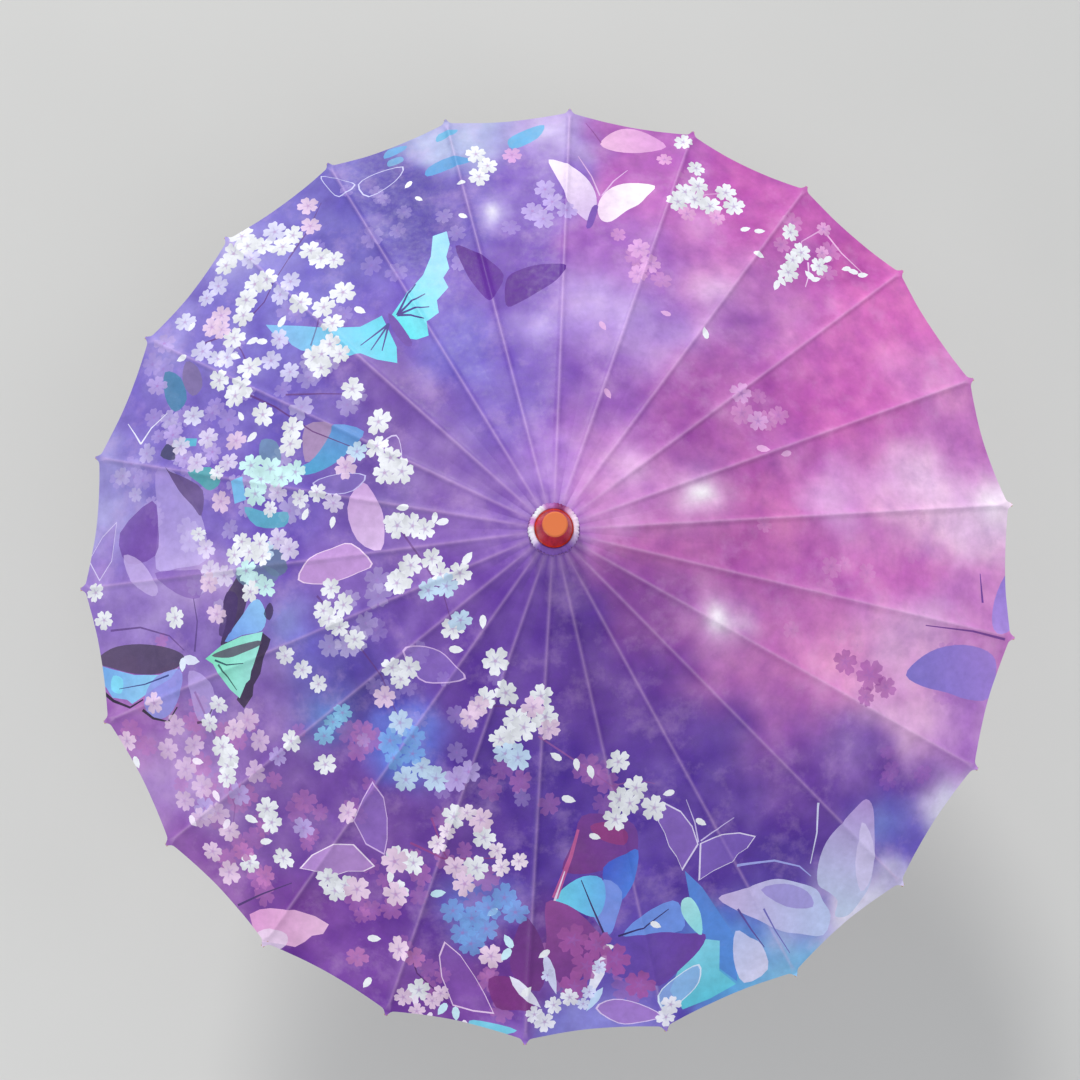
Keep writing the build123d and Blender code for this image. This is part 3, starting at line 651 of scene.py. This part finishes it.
def draw_lower_blossoms():
    blossoms(at(-297,-149, -293,-165, -295,-175, -262,-204, -259,-216, -233,-148, -206,-170, -252,-247,
        -283,-250, -290,-158), 8.5)
    blossoms(at(-316,-238, -298,-221, -190,-211, -388,-138, -303,-257), 9, PINK_WHITE, .85)
    blossoms(at(-246,-160, -285,-190, -318,-200, -231,-222), 8.5, LILAC, .85)
    blossoms(at(-288,-240, -197,-336, -146,-338, -270,-262), 9, MAUVE, .85)
    blossoms(at(-340,-128, -324,-146, -334,-166, -319,-182, -337,-193, -322,-208, -306,-205, -349,-148,
        -272,-128, -262,-146, -268,-172), 9, PINK_WHITE, .6)
    petals(at(-277,-212, -381,-157, -180,-320, -190,-358, -160,-268, -266,-232))
    blossoms(at(-209,-277, -200,-273, -214,-266, -139,-257, -152,-252, -78,-240, -101,-220, -87,-265,
        -154,-280, -146,-367), 9)
    blossoms(at(-155,-255, -157,-283, -190,-277, -104,-263, -98,-278, -79,-225, -159,-330, -82,-342),
        10, PINK_WHITE)
    blossoms(at(-117,-242, -90,-218, -66,-266, -51,-262, -108,-232, -68,-252), 7, (.96, .90, .96))
    petals(at(-121,-284, -77,-304, -69,-341, -66,-330, -117,-391, -128,-386), 6, (.80, .93, .98))
    blossoms(at(-95,-308, -84,-318, -104,-320, -110,-300, -58,-305, -66,-292, -80,-300, -98,-330), 10,
        (.48, .68, .94), .75)
    blossoms(at(37,-187, 50,-210, 36,-218, 31,-234, 64,-228, 44,-222), 9.5)
    petals(at(3,-186, 14,-193, -6,-214, 102,-244, 77,-217, 13,-247, -13,-178, 58,-327, 17,-343,
        -37,-343, -55,-374), 5.5)
    blossoms(at(-12,-334, -3,-358, 22,-354, -15,-375, 41,-378, 8,-340), 12, (.66, .34, .66), .85)
    blossoms(at(8,-360, -2,-381, -36,-362, -8,-391), 5.5, (.84, .86, .98))
    blossoms(at(-50,-395, -19,-384, -33,-389, 61,-408, -42,-403, 66,-398), 7.5, (.94, .94, .99))
    petals(at(-300,-215, -306,-190, -330,-210, -322,-160, -140,-392, -150,-376, -110,-402), 5,
        (.95, .90, .97))
    blossoms(at(-160,-372, -136,-378, -150,-386, -128,-372), 7, PINK_WHITE, .95)


def draw_upper_right_blossoms():
    blossoms(at(-34,377, -33,350, -24,362), 9)
    petals(at(-50,344, -91,334, -51,307, -100,352), 4.5)
    blossoms(at(0,373, 105,257, 113,240, 187,85, 100,230, 175,110), 9, (.88, .66, .88), .85)
    blossoms(at(32,314, 27,329, 13,306, 44,302, 22,296), 9, LILAC, .85)
    blossoms(at(172,325, 158,318, 149,307, 180,303, 198,318, 203,302, 166,310), 9.5)
    blossoms(at(173,345, 165,375, 252,271, 259,250, 249,242, 274,236, 242,229), 8.5)
    blossoms(at(144,356, 287,276, 280,250, 184,290, 156,294), 7.5, (.90, .66, .86), .9)
    petals(at(209,276, 222,273, 284,243, 234,220, 228,216, 301,233, 307,230, 316,226, 216,247, 152,168,
        263,226, 268,222), 5.5)
    petals(at(58,115, 208,55, 187,60, 62,180, 120,190), 5.5, (.90, .70, .88), .8)


draw_haze()
draw_large_wings()
draw_twigs()
draw_blossoms()


# ---------------------------------------------------------------- paper canopy

def rim_radius(delta):
    """Radius of the paper's edge at an angle from the nearest rib, between two tips."""
    chord = RIM_R * math.cos(HALF) / math.cos(HALF - abs(delta))
    return chord - RIM_DIP * math.sin(math.pi * abs(delta) / PITCH)


def paper_height(x, y, index):
    """Height of the paper's outer face at arrays of places, in metres, over one rib's gore."""
    turn = index * PITCH
    along = x * math.cos(turn) + y * math.sin(turn)
    across = y * math.cos(turn) - x * math.sin(turn)
    radius = np.hypot(along, across)
    delta = np.arctan2(np.abs(across), along)
    facet = radius * np.cos(HALF - delta) / math.cos(HALF)
    height = HUB_Z + PAPER_LIFT / math.sin(OPEN) - (facet - PIVOT_R) / math.tan(OPEN)
    share = np.clip(delta / HALF, 0, 1)
    reach = radius / RIM_R
    sag = np.where(across > 0, panel_sag[index], panel_sag[index - 1])
    taut = np.clip(1.5 * reach - 0.2, 0, 0.9)
    height -= sag * (0.10 + 0.90 * reach ** 1.4) * (share + taut * (share - share ** 2))
    ridge = np.exp(-((across / RIDGE_HALF_WIDTH) ** 2)) * np.clip((reach - 0.06) * 8, 0.3, 1)
    height += RIDGE_HEIGHT * ridge
    ripple = [noise.noise(Vector((px * 26, py * 26, 1.7))) for px, py in zip(x, y)]
    crumple = [noise.noise(Vector((px * 75, py * 75, 5.2))) for px, py in zip(x, y)]
    quiet = np.clip(share * 1.6, 0.12, 1)
    return height + quiet * (0.9 * MM * np.array(ripple) + 0.22 * MM * np.array(crumple))


def gore_outline():
    """The edge of one gore in its rib's own plan, in millimetres: along the rib, then across."""
    corner_r = rim_radius(HALF)
    bottom = PAPER_TOP_R * math.cos(HALF)
    side_end = corner_r * math.cos(HALF)
    rows = np.linspace(bottom, side_end, int((side_end - bottom) / (ROW_STEP * MM)) + 1)
    left = [(u, u * math.tan(HALF)) for u in rows]
    rim = []
    for step in np.linspace(1, -1, RIM_STEPS)[1:-1]:
        delta = HALF * step * abs(step) ** 0.5  # closer together at the rib
        radius = rim_radius(delta)
        across = radius * math.sin(delta)
        radius += NUB_LENGTH * math.exp(-((across / NUB_HALF_WIDTH) ** 2))
        rim.append((radius * math.cos(delta), radius * math.sin(delta)))
    right = [(u, -v) for u, v in reversed(left)]
    edge = [(u / MM, v / MM) for u, v in left + rim + right]
    return edge[::-1], [u / MM for u in rows]


def inner_points(rows, first):
    """Vertices inside a gore, and the lines that keep its mesh straight along the rib."""
    points, lines, last = [], [], {}
    for row, u in enumerate(rows[1:] + [rows[-1] + RIM_CLEAR]):
        half_width = u * math.tan(HALF)
        near = {v: v for v in RIB_LINES if abs(v) < half_width - EDGE_CLEAR or v == 0}
        start = max(near)
        if half_width > CREASE_FROM and u < rows[-1]:
            for inset in CREASE_LINES:
                near["left", inset] = half_width - inset
                near["right", inset] = inset - half_width
        for line, v in near.items():
            if line in last:
                lines.append((last[line], first + len(points)))
            last[line] = first + len(points)
            points.append((u, v))
        room = half_width - start - max(CREASE_LINES)
        count = int(room / ROW_STEP)
        for k in range(1, count + 1):
            v = start + room * (k + 0.5 * (row % 2)) / (count + 1.2)
            points += [(u, v), (u, -v)]
    return points, lines


def turned(points, angle):
    """Places turned about the shaft."""
    places = np.array(points, float)
    c, s = math.cos(angle), math.sin(angle)
    return np.column_stack((places[:, 0] * c - places[:, 1] * s, places[:, 0] * s + places[:, 1] * c))


# Paper paler over the ribs, partly rubbed wear and partly a painted highlight of the ridge, and where the
# collar hides the print; in millimetres
RIB_HIGHLIGHT_AND_WEAR, RIB_HIGHLIGHT_AND_WEAR_WIDTH, RIB_HIGHLIGHT_AND_WEAR_COLOUR = 0.22, 1.2, (.93, .78, .93)
COVERED_R = 16
CUT_EDGE = 0.6  # its colour, a plain grey


def covered(outline, x, y):
    """Which of the places lie inside an outline."""
    inside = np.zeros(len(x), bool)
    for (ax, ay), (bx, by) in zip(outline, np.roll(outline, -1, axis=0)):
        if ay != by:
            level = (ay > y) != (by > y)
            inside ^= level & (x < (bx - ax) * (y - ay) / (by - ay) + ax)
    return inside


def motifs_over(index):
    """The motifs that reach one gore, each with its outline in that rib's plan."""
    found = []
    for motif in motifs:
        outline = turned(motif[0], -index * PITCH)
        radius = np.hypot(outline[:, 0], outline[:, 1])
        angle = np.arctan2(outline[:, 1], outline[:, 0])
        reached = angle.min() < HALF and angle.max() > -HALF and radius.max() > COVERED_R
        opposite = np.abs(angle).min() > 1 or angle.max() - angle.min() > 2  # on the far side of the shaft
        if reached and not opposite:
            found.append((outline, motif))
    return found


def painted(triangles, places, local, layers):
    """Corner colours of the triangles: the background, paler over the ribs by wear and a painted highlight,
    then each motif in turn.

    The fourth value is how much of the bare background still shows.
    """
    ground = background(places[:, 0], places[:, 1])
    # Painted highlight, partly also wear: a narrow band along each rib is lightened towards pale pink
    turn = np.arctan2(places[:, 1], places[:, 0]) / PITCH
    away = (turn - np.round(turn)) * PITCH * np.hypot(places[:, 0], places[:, 1])
    rib_highlight_and_wear = RIB_HIGHLIGHT_AND_WEAR * np.exp(-((away / RIB_HIGHLIGHT_AND_WEAR_WIDTH) ** 2))
    ground += rib_highlight_and_wear[:, None] * (srgb(*RIB_HIGHLIGHT_AND_WEAR_COLOUR) - ground)
    colours = ground[triangles]
    corners = places[triangles]
    bare = np.ones(len(triangles))
    x, y = local[triangles].mean(axis=1).T
    for plan, (outline, colour, far, strength) in layers:
        inside = np.flatnonzero(covered(plan, x, y))
        if not len(inside):
            continue
        over = np.broadcast_to(colour, (len(inside), 3, 3))
        if far is not None:
            start, end = np.array(outline[0]), np.array(outline[len(outline) // 2])
            run = end - start
            share = np.clip(((corners[inside] - start) @ run) / (run @ run), 0, 1)[..., None]
            over = colour * (1 - share) + far * share
        colours[inside] = colours[inside] * (1 - strength) + over * strength
        bare[inside] *= 1 - strength
    return np.dstack((colours, np.repeat(bare[:, None], 3, axis=1)))


def outward(points, triangles):
    """Vertex normals of an open surface, each the mean of its triangles' by area."""
    a, b, c = (points[triangles[:, k]] for k in range(3))
    facing = np.cross(b - a, c - a)
    normals = np.zeros_like(points)
    for k in range(3):
        np.add.at(normals, triangles[:, k], facing)
    return normals / np.linalg.norm(normals, axis=1)[:, None]


def cut_gore(layers):
    """One gore laid flat and cut along its motifs: places in the rib's own plan, and triangles."""
    edge, rows = gore_outline()
    inside, lines = inner_points(rows, len(edge))
    points = [Vector(p) for p in edge + inside]
    for outline, _ in layers:
        first, count = len(points), len(outline)
        lines += [(first + k, first + (k + 1) % count) for k in range(count)]
        points += [Vector(p) for p in outline]
    gore_face = [list(range(len(edge)))]
    flat, _, cut, _, _, owners = delaunay_2d_cdt(points, lines, gore_face, 1, 0.02, True)
    triangles = np.array([face for face, owner in zip(cut, owners) if owner and len(face) == 3])
    used, triangles = np.unique(triangles, return_inverse=True)
    return np.array([flat[i] for i in used]), triangles.reshape(-1, 3)


def printed_object(name, verts, faces, colours, domain):
    """A smooth object that carries its print and its places at rest."""
    mesh = bpy.data.meshes.new(name)
    mesh.from_pydata(verts.tolist(), [], faces)
    ink = mesh.color_attributes.new("print", "FLOAT_COLOR", domain)
    ink.data.foreach_set("color", colours.ravel())
    plan = mesh.attributes.new("plan", "FLOAT_VECTOR", "POINT")
    plan.data.foreach_set("vector", verts.ravel())
    mesh.polygons.foreach_set("use_smooth", [True] * len(faces))
    return link(bpy.data.objects.new(name, mesh))


def link(obj):
    bpy.context.collection.objects.link(obj)
    return obj


def make_gore(index):
    """One paper gore on its rib, from crease to crease, with its part of the print."""
    layers = motifs_over(index)
    local, triangles = cut_gore(layers)
    places = turned(local, index * PITCH)
    colours = painted(triangles, places, local, layers)

    x, y = places[:, 0] * MM, places[:, 1] * MM
    top = np.column_stack((x, y, paper_height(x, y, index)))
    under = top - np.array((0, 0, PAPER_THICKNESS / math.sin(OPEN)))
    count = len(top)
    sides = {}
    for a, b, c in triangles:
        for start, end in ((a, b), (b, c), (c, a)):
            sides[(start, end)] = None
    rim = [(a, b) for a, b in sides if (b, a) not in sides]
    verts = np.vstack((top, under))
    faces = [(b, a, a + count, b + count) for a, b in rim]
    faces += list(triangles) + list(triangles[:, ::-1] + count)
    faces = [tuple(int(v) for v in face) for face in faces]
    shell = (np.full((4 * len(rim), 4), CUT_EDGE), colours.reshape(-1, 4), colours[:, ::-1].reshape(-1, 4))
    gore = printed_object(f"gore_{index:02d}", verts, faces, np.concatenate(shell), "CORNER")
    # Normals of the two faces alone, so that the thin cut edge doesn't shade them
    facing = outward(top, triangles)
    gore.data.normals_split_custom_set_from_vertices(np.vstack((facing, -facing)).tolist())
    give(gore, outer_paper, inner_paper)
    sides_shown = [1] * len(rim) + [0] * len(triangles) + [1] * len(triangles)
    gore.data.polygons.foreach_set("material_index", sides_shown)
    return gore


# ---------------------------------------------------------------- materials

class Nodes:
    """A small helper that builds one procedural material."""

    def __init__(self, name, roughness=0.5, **constants):
        self.material = bpy.data.materials.new(name)
        self.material.use_nodes = True
        self.tree = self.material.node_tree
        self.shader = self.tree.nodes["Principled BSDF"]
        self.shader.inputs["Roughness"].default_value = roughness
        for socket, value in constants.items():
            self.shader.inputs[socket.replace("_", " ")].default_value = value

    def node(self, kind, links=None, **settings):
        made = self.tree.nodes.new("ShaderNode" + kind)
        for key, value in settings.items():
            setattr(made, key, value)
        for socket, source in (links or {}).items():
            if isinstance(source, bpy.types.NodeSocket):
                self.tree.links.new(source, made.inputs[socket])
            else:
                made.inputs[socket].default_value = source
        return made

    def attribute(self, name):
        return self.node("Attribute", attribute_name=name)

    def place(self):
        return self.node("TexCoord").outputs["Object"]

    def stretched(self, vector, scale):
        return self.node("Mapping", {"Vector": vector, "Scale": scale}).outputs[0]

    def noise(self, vector, scale, detail=4.0, rough=0.55):
        links = {"Vector": vector, "Scale": scale, "Detail": detail, "Roughness": rough}
        return self.node("TexNoise", links).outputs["Fac"]

    def math(self, operation, a, b=0.0, c=0.0):
        return self.node("Math", {0: a, 1: b, 2: c}, operation=operation).outputs[0]

    def mix(self, share, first, second, blend="MIX"):
        links = {"Factor": share, 6: first, 7: second}  # 6 and 7 are the two colour sockets
        return self.node("Mix", links, data_type="RGBA", blend_type=blend).outputs[2]

    def range(self, value, low, high, new_low, new_high):
        links = {"Value": value, "From Min": low, "From Max": high, "To Min": new_low, "To Max": new_high}
        return self.node("MapRange", links).outputs["Result"]

    def join(self, x, y, z):
        return self.node("CombineXYZ", {"X": x, "Y": y, "Z": z}).outputs[0]

    def finish(self, colour, roughness=None, height=None, distance=0.0002, strength=0.6):
        self.tree.links.new(colour, self.shader.inputs["Base Color"])
        if roughness is not None:
            self.tree.links.new(roughness, self.shader.inputs["Roughness"])
        if height is not None:
            bump = self.node("Bump", {"Height": height, "Distance": distance, "Strength": strength})
            self.tree.links.new(bump.outputs[0], self.shader.inputs["Normal"])
        return self.material


def paint(red, green, blue):
    return (*srgb(red, green, blue), 1.0)


def paper_material(name, wash, veil, specular):
    """Oiled paper that carries the print. wash is how cloudy it is, veil how much pale paper covers it."""
    m = Nodes(name, Specular_IOR_Level=specular)
    plan = m.attribute("plan").outputs["Vector"]
    ink, bare = (m.attribute("print").outputs[name] for name in ("Color", "Alpha"))
    cloud = m.noise(plan, 26, 9, 0.66)
    mottle = m.noise(plan, 70, 6, 0.62)
    blotch = m.noise(plan, 190, 5, 0.6)
    light = m.range(mottle, 0.3, 0.7, 1 - wash, 1 + wash)
    dust = m.range(blotch, 0.3, 0.7, 1 - wash * 0.5, 1 + wash * 0.5)
    shade = m.math("MULTIPLY", light, dust)
    colour = m.mix(1.0, ink, m.join(shade, shade, shade), "MULTIPLY")
    reach = m.math("MULTIPLY_ADD", bare, wash * 1.8, wash * 0.4)
    pale_cloud = m.math("MULTIPLY", reach, m.range(cloud, 0.52, 0.74, 0.0, 1.0))
    dark_cloud = m.math("MULTIPLY", reach, m.range(cloud, 0.48, 0.28, 0.0, 1.0))
    colour = m.mix(pale_cloud, colour, paint(.93, .78, .95))
    colour = m.mix(dark_cloud, colour, paint(.36, .20, .58))
    fibres = m.noise(m.stretched(plan, (1.0, 1.6, 1.0)), 900, 3, 0.7)
    pale = m.range(fibres, 0.56, 0.80, veil, veil + 0.04)
    colour = m.mix(pale, colour, paint(.93, .90, .88))
    rough = m.range(blotch, 0.3, 0.7, 0.42, 0.60)
    height = m.math("ADD", m.math("MULTIPLY", fibres, 0.35), blotch)
    return m.finish(colour, rough, height, 0.0005, 0.35)


def strip_material(name, light, dark, tilt_sign):
    """Split bamboo: fibres along each strip, paler and darker bands, and a knuckle here and there."""
    m = Nodes(name, Specular_IOR_Level=0.45)
    parts = m.node("SeparateXYZ", {0: m.place()})
    x, y, z = parts.outputs
    turn = m.math("ARCTAN2", y, x)
    radius = m.math("SQRT", m.math("ADD", m.math("MULTIPLY", x, x), m.math("MULTIPLY", y, y)))
    strip = m.math("ADD", m.math("DIVIDE", turn, PITCH), 0.5)
    lateral = m.math("MULTIPLY", m.math("FRACT", strip), m.math("MULTIPLY", radius, PITCH))
    number = m.math("FLOOR", strip)
    depth = m.math("ADD", z, m.math("MULTIPLY", radius, tilt_sign / math.tan(OPEN)))
    along = m.math("ADD", radius, m.math("MULTIPLY", number, 0.713))
    fibre = m.noise(m.join(m.math("MULTIPLY", along, 14), m.math("MULTIPLY", lateral, 900),
                           m.math("MULTIPLY", depth, 900)), 1.0, 3, 0.6)
    tone = m.noise(m.join(m.math("MULTIPLY", along, 9), number, 0.0), 1.3, 2, 0.5)
    colour = m.mix(m.range(fibre, 0.3, 0.7, 0.0, 1.0), light, dark)
    colour = m.mix(m.range(tone, 0.35, 0.65, 0.0, 0.35), colour, paint(.52, .36, .20))
    knuckle = m.math("PINGPONG", along, 0.083)
    band = m.range(knuckle, 0.0, 0.0016, 0.75, 0.0)
    colour = m.mix(band, colour, paint(.40, .26, .13))
    rough = m.range(fibre, 0.3, 0.7, 0.36, 0.58)
    return m.finish(colour, rough, m.math("ADD", fibre, band), 0.0003, 0.6)


def turned_wood(name, light, dark, coat=0.0, roughness=(0.35, 0.55), specular=0.5, top=None):
    """Wood turned on a lathe: grain up the shaft, faint tool rings and darker pores.

    top is the height at which the turned top starts, and the lighter colour painted on it as a highlight.
    """
    m = Nodes(name, Coat_Weight=coat, Coat_Roughness=0.12, Specular_IOR_Level=specular)
    place = m.place()
    grain = m.noise(m.stretched(place, (140, 140, 9)), 1.0, 5, 0.6)
    pores = m.noise(m.stretched(place, (900, 900, 40)), 1.0, 2, 0.5)
    rings = m.noise(m.stretched(place, (4, 4, 900)), 1.0, 2, 0.5)
    colour = m.mix(m.range(grain, 0.32, 0.68, 0.0, 1.0), light, dark)
    colour = m.mix(m.range(pores, 0.58, 0.75, 0.0, 0.5), colour, dark)
    if top is not None:
        # Painted highlight: the flat top face is coloured a lighter orange, as if lit from above
        height, top_highlight = top
        z = m.node("SeparateXYZ", {0: place}).outputs[2]
        edge = m.math("ADD", z, m.math("MULTIPLY", grain, 0.0008))
        colour = m.mix(m.range(edge, height - 0.0006, height + 0.0004, 0.0, 1.0), colour, top_highlight)
    rough = m.range(grain, 0.3, 0.7, *roughness)
    return m.finish(colour, rough, m.math("ADD", rings, grain), 0.00015, 0.4)


def twisted_thread(name, colour_a, colour_b):
    """Twisted cotton: slanting strands round a ring or a winding."""
    m = Nodes(name, Sheen_Weight=0.3)
    place = m.place()
    parts = m.node("SeparateXYZ", {0: place})
    x, y, z = parts.outputs
    turn = m.math("ARCTAN2", y, x)
    wave = m.math("SINE", m.math("ADD", m.math("MULTIPLY", turn, 95), m.math("MULTIPLY", z, 4200)))
    fuzz = m.noise(place, 2600, 2)
    colour = m.mix(m.range(wave, -1, 1, 0, 1), colour_a, colour_b)
    return m.finish(colour, m.range(fuzz, 0.3, 0.7, 0.6, 0.85), m.math("ADD", wave, fuzz), 0.0002, 0.7)


def brushed_metal(name):
    """Drawn spring steel with fine scratches."""
    m = Nodes(name, Metallic=1.0)
    place = m.place()
    scratch = m.noise(m.stretched(place, (2200, 2200, 60)), 1.0, 3)
    colour = m.mix(m.range(scratch, 0.3, 0.7, 0, 1), paint(.62, .61, .60), paint(.78, .78, .80))
    return m.finish(colour, m.range(scratch, 0.3, 0.7, 0.22, 0.42), scratch, 0.0001, 0.4)


outer_paper = paper_material("outer_paper", 0.10, 0.0, 0.28)
inner_paper = paper_material("inner_paper", 0.06, 0.52, 0.25)
bamboo = strip_material("bamboo_ribs", paint(.85, .72, .50), paint(.72, .56, .34), 1)
bamboo_low = strip_material("bamboo_stretchers", paint(.83, .69, .46), paint(.68, .52, .30), -1)
shaft_wood = turned_wood("shaft_wood", paint(.78, .58, .36), paint(.60, .39, .20), 0.25)
hub_wood = turned_wood("hub_wood", paint(.70, .49, .29), paint(.52, .33, .17))
grip_wood = turned_wood("grip_wood", paint(.50, .25, .13), paint(.28, .11, .06), 0.6, (0.22, 0.36))
# The finial's flat top gets a painted highlight in lighter orange
lacquer = turned_wood("red_lacquer", paint(.84, .17, .04), paint(.62, .05, .01), 0.12, (0.38, 0.55), 0.25,
                      (FINIAL_HIGH.z - 0.8 * MM, paint(.88, .47, .27)))
cream_thread = twisted_thread("cream_thread", paint(.90, .84, .72), paint(.72, .64, .50))
violet_thread = twisted_thread("violet_thread", paint(.62, .40, .70), paint(.42, .24, .54))
steel = brushed_metal("spring_steel")


def give(obj, *materials):
    """Puts materials in the object's slots, in order."""
    obj.data.materials.clear()
    for material in materials:
        obj.data.materials.append(material)
    return obj


# ---------------------------------------------------------------- pieces

def make_canopy():
    """All gores, each riding on its rib."""
    for index, rib in enumerate(RIBS):
        gore = make_gore(index)
        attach(gore, rib)
        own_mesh(gore)
        if index == 0:
            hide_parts("canopy")


def dress_frame():
    """Materials for the CAD pieces that stay as they are."""
    finishes = {"shaft": shaft_wood, "top_hub": hub_wood, "runner": hub_wood, "grip": grip_wood,
                "end_knob": grip_wood, "finial": lacquer, "hub_thread": cream_thread,
                "runner_thread": cream_thread, "collar_tie": violet_thread, "catch_spring": steel,
                "catch_pin": steel, "stop_pin": steel}
    for name, obj in frame["nodes"].items():
        if name.startswith("rib_"):
            give(obj, bamboo)
        elif name.startswith("stretcher_"):
            give(obj, bamboo_low)
        elif name in finishes:
            give(obj, finishes[name])


# The print on the collar's cloth: (angle and spread in degrees, colour)
COLLAR_PATCHES = [
    (132, 16, WHITE), (186, 20, WHITE), (204, 12, (.96, .94, .99)), (18, 20, (.95, .86, .95)),
    (-8, 16, (.96, .90, .96)), (44, 10, (.90, .72, .88)), (66, 16, (.50, .10, .38)),
    (92, 12, (.70, .42, .74)), (158, 10, (.80, .45, .78)), (-62, 34, (.52, .34, .70)),
    (-110, 36, (.50, .34, .72)), (-34, 12, (.90, .84, .94)),
]


def collar_colour(angle, height):
    """Display colour of the collar's cloth at an angle in degrees and a share of its height, with painted
    shade darkening its foot.
    """
    total, weights = np.zeros(3), 0.0
    for centre, spread, colour in COLLAR_PATCHES:
        away = (angle - centre + 180) % 360 - 180
        weight = math.exp(-((away / spread) ** 2)) + 1e-6
        total = total + weight * np.array(colour)
        weights += weight
    shown = total / weights
    # Painted shade: the cloth is darkened towards its foot, where it meets the paper
    return np.clip(shown * (0.88 + 0.12 * height), 0, 1)


def collar_profile(low, high, crown_r):
    """The collar's outer side from bottom to top: radius, height and how free the cloth is to pleat."""
    tie_low, tie_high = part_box("collar_tie")
    waist_z = tie_low.z * 0.5 + tie_high.z * 0.5
    waist_r = tie_high.x - 1.25 * MM
    profile = []
    for level in range(LEVELS + 1):
        t = level / LEVELS
        z = low + (high - low) * t
        pinch = math.exp(-(((z - waist_z) / (1.5 * MM)) ** 2))
        close = max(0.0, (t - 0.86) / 0.14) ** 2
        radius = (COLLAR_HIGH.x - CLOTH_SWELL) * (1 - pinch) + waist_r * pinch
        radius = radius * (1 - close) + (crown_r + 1.0 * MM) * close
        profile.append((radius, z, (1 - pinch) * (1 - close)))
    return profile


def make_collar():
    """A gathered cloth ring round the hub: pleats below and above the tied waist, closing on the finial."""
    around = PLEATS * PLEAT_STEPS
    low, high = COLLAR_LOW.z, COLLAR_HIGH.z + 1.2 * MM
    inner = HUB_R + 0.15 * MM
    crown_r = FINIAL_HIGH.x + 0.15 * MM
    ledge = FINIAL_LOW.z + 0.15 * MM
    profile = collar_profile(low, high, crown_r)
    inside = ((crown_r, high - 0.3 * MM), (crown_r, ledge), (inner, ledge), (inner, low))
    pleats = [rng.uniform(0.75, 1.25) for _ in range(PLEATS)]
    verts, colours, faces = [], [], []
    for step in range(around):
        angle = 2 * math.pi * step / around
        pleat = PLEATS * step / around
        swell = math.sin(2 * math.pi * pleat) * pleats[int(pleat)]
        for radius, z, free in profile:
            drift = noise.noise(Vector((math.cos(angle) * 4, math.sin(angle) * 4, z * 90)))
            wave = (0.34 * swell + 0.9 * drift) * MM * free
            lift = 0.35 * MM * math.sin(2 * math.pi * pleat * 0.5 + 1) * free
            r = max(radius + wave, inner + 0.3 * MM if z < FINIAL_LOW.z else crown_r)
            verts.append((r * math.cos(angle), r * math.sin(angle), z + lift))
            colours.append(collar_colour(math.degrees(angle), (z - low) / (high - low)))
        for radius, z in inside:
            verts.append((radius * math.cos(angle), radius * math.sin(angle), z))
            colours.append(collar_colour(math.degrees(angle), 0.5))
    ring = len(profile) + len(inside)
    for start in range(0, around * ring, ring):
        after = (start + ring) % (around * ring)
        for level in range(ring):
            above = (level + 1) % ring
            faces.append((start + level, after + level, after + above, start + above))
    linear = srgb(*np.array(colours).T).T
    colours = np.column_stack((linear, np.ones(len(linear))))
    collar = printed_object("collar", np.array(verts), faces, colours, "POINT")
    give(collar, paper_material("collar_cloth", 0.10, 0.0, 0.3))
    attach(collar, "shaft_body")
    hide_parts("crown_collar")


make_canopy()
make_collar()
dress_frame()


# ---------------------------------------------------------------- floor, light and camera

FLOOR_HALF = 12.0


def make_floor():
    """A plain pale floor, large enough for every view."""
    mesh = bpy.data.meshes.new("floor")
    corners = [(x * FLOOR_HALF, y * FLOOR_HALF, 0) for x, y in ((-1, -1), (1, -1), (1, 1), (-1, 1))]
    mesh.from_pydata(corners, [], [(0, 1, 2, 3)])
    floor = link(bpy.data.objects.new("floor", mesh))
    m = Nodes("floor_matte", 0.9, Specular_IOR_Level=0.1)
    cloud = m.noise(m.place(), 2.0, 2)
    give(floor, m.finish(m.mix(cloud, paint(.80, .80, .79), paint(.83, .83, .82))))


def area_light(name, place, aim, size, power, colour=(1, 1, 1)):
    """A round light that faces a place, with its power in watts."""
    light = bpy.data.lights.new(name, "AREA")
    light.shape = "DISK"
    light.size = size
    light.energy = power
    light.color = colour
    lamp = link(bpy.data.objects.new(name, light))
    lamp.location = place
    lamp.rotation_mode = "QUATERNION"
    lamp.rotation_quaternion = (Vector(aim) - Vector(place)).to_track_quat("-Z", "Y")


def make_lights():
    middle = (0, 0, 0.4)
    area_light("key", (-0.7, 5.2, 3.4), middle, 1.3, 235, (1.0, 0.99, 0.97))
    area_light("fill", (0.6, -1.2, 3.0), middle, 2.6, 24, (0.97, 0.98, 1.0))
    area_light("low_fill", (-1.8, -1.2, 0.75), (0, 0, 0.3), 0.8, 8)
    world = bpy.data.worlds.new("studio")
    world.use_nodes = True
    sky = world.node_tree.nodes["Background"]
    sky.inputs["Color"].default_value = (0.93, 0.95, 1.0, 1)
    sky.inputs["Strength"].default_value = 0.5
    bpy.context.scene.world = world
    bpy.context.scene.view_settings.view_transform = "Standard"


def make_camera():
    """Looks steeply down at the canopy, from a little in front of it, slightly rolled, as in the photo."""
    place = Vector((-0.0345, -0.090, 1.348))
    aim = Vector((-0.0225, 0.058, 0.3695))
    roll = math.radians(-5.25)
    forward = (aim - place).normalized()
    right = forward.cross(Vector((0, 1, 0))).normalized()
    up = right.cross(forward)
    rolled_right = right * math.cos(roll) + up * math.sin(roll)
    rolled_up = up * math.cos(roll) - right * math.sin(roll)
    lens = bpy.data.cameras.new("camera")
    lens.lens = 36
    lens.sensor_width = 36
    lens.shift_x = 0.02
    lens.shift_y = -0.05
    camera = link(bpy.data.objects.new("camera", lens))
    facing = Matrix((rolled_right, rolled_up, -forward)).transposed().to_4x4()
    camera.matrix_world = Matrix.Translation(place) @ facing
    bpy.context.scene.camera = camera


make_floor()
make_lights()
make_camera()
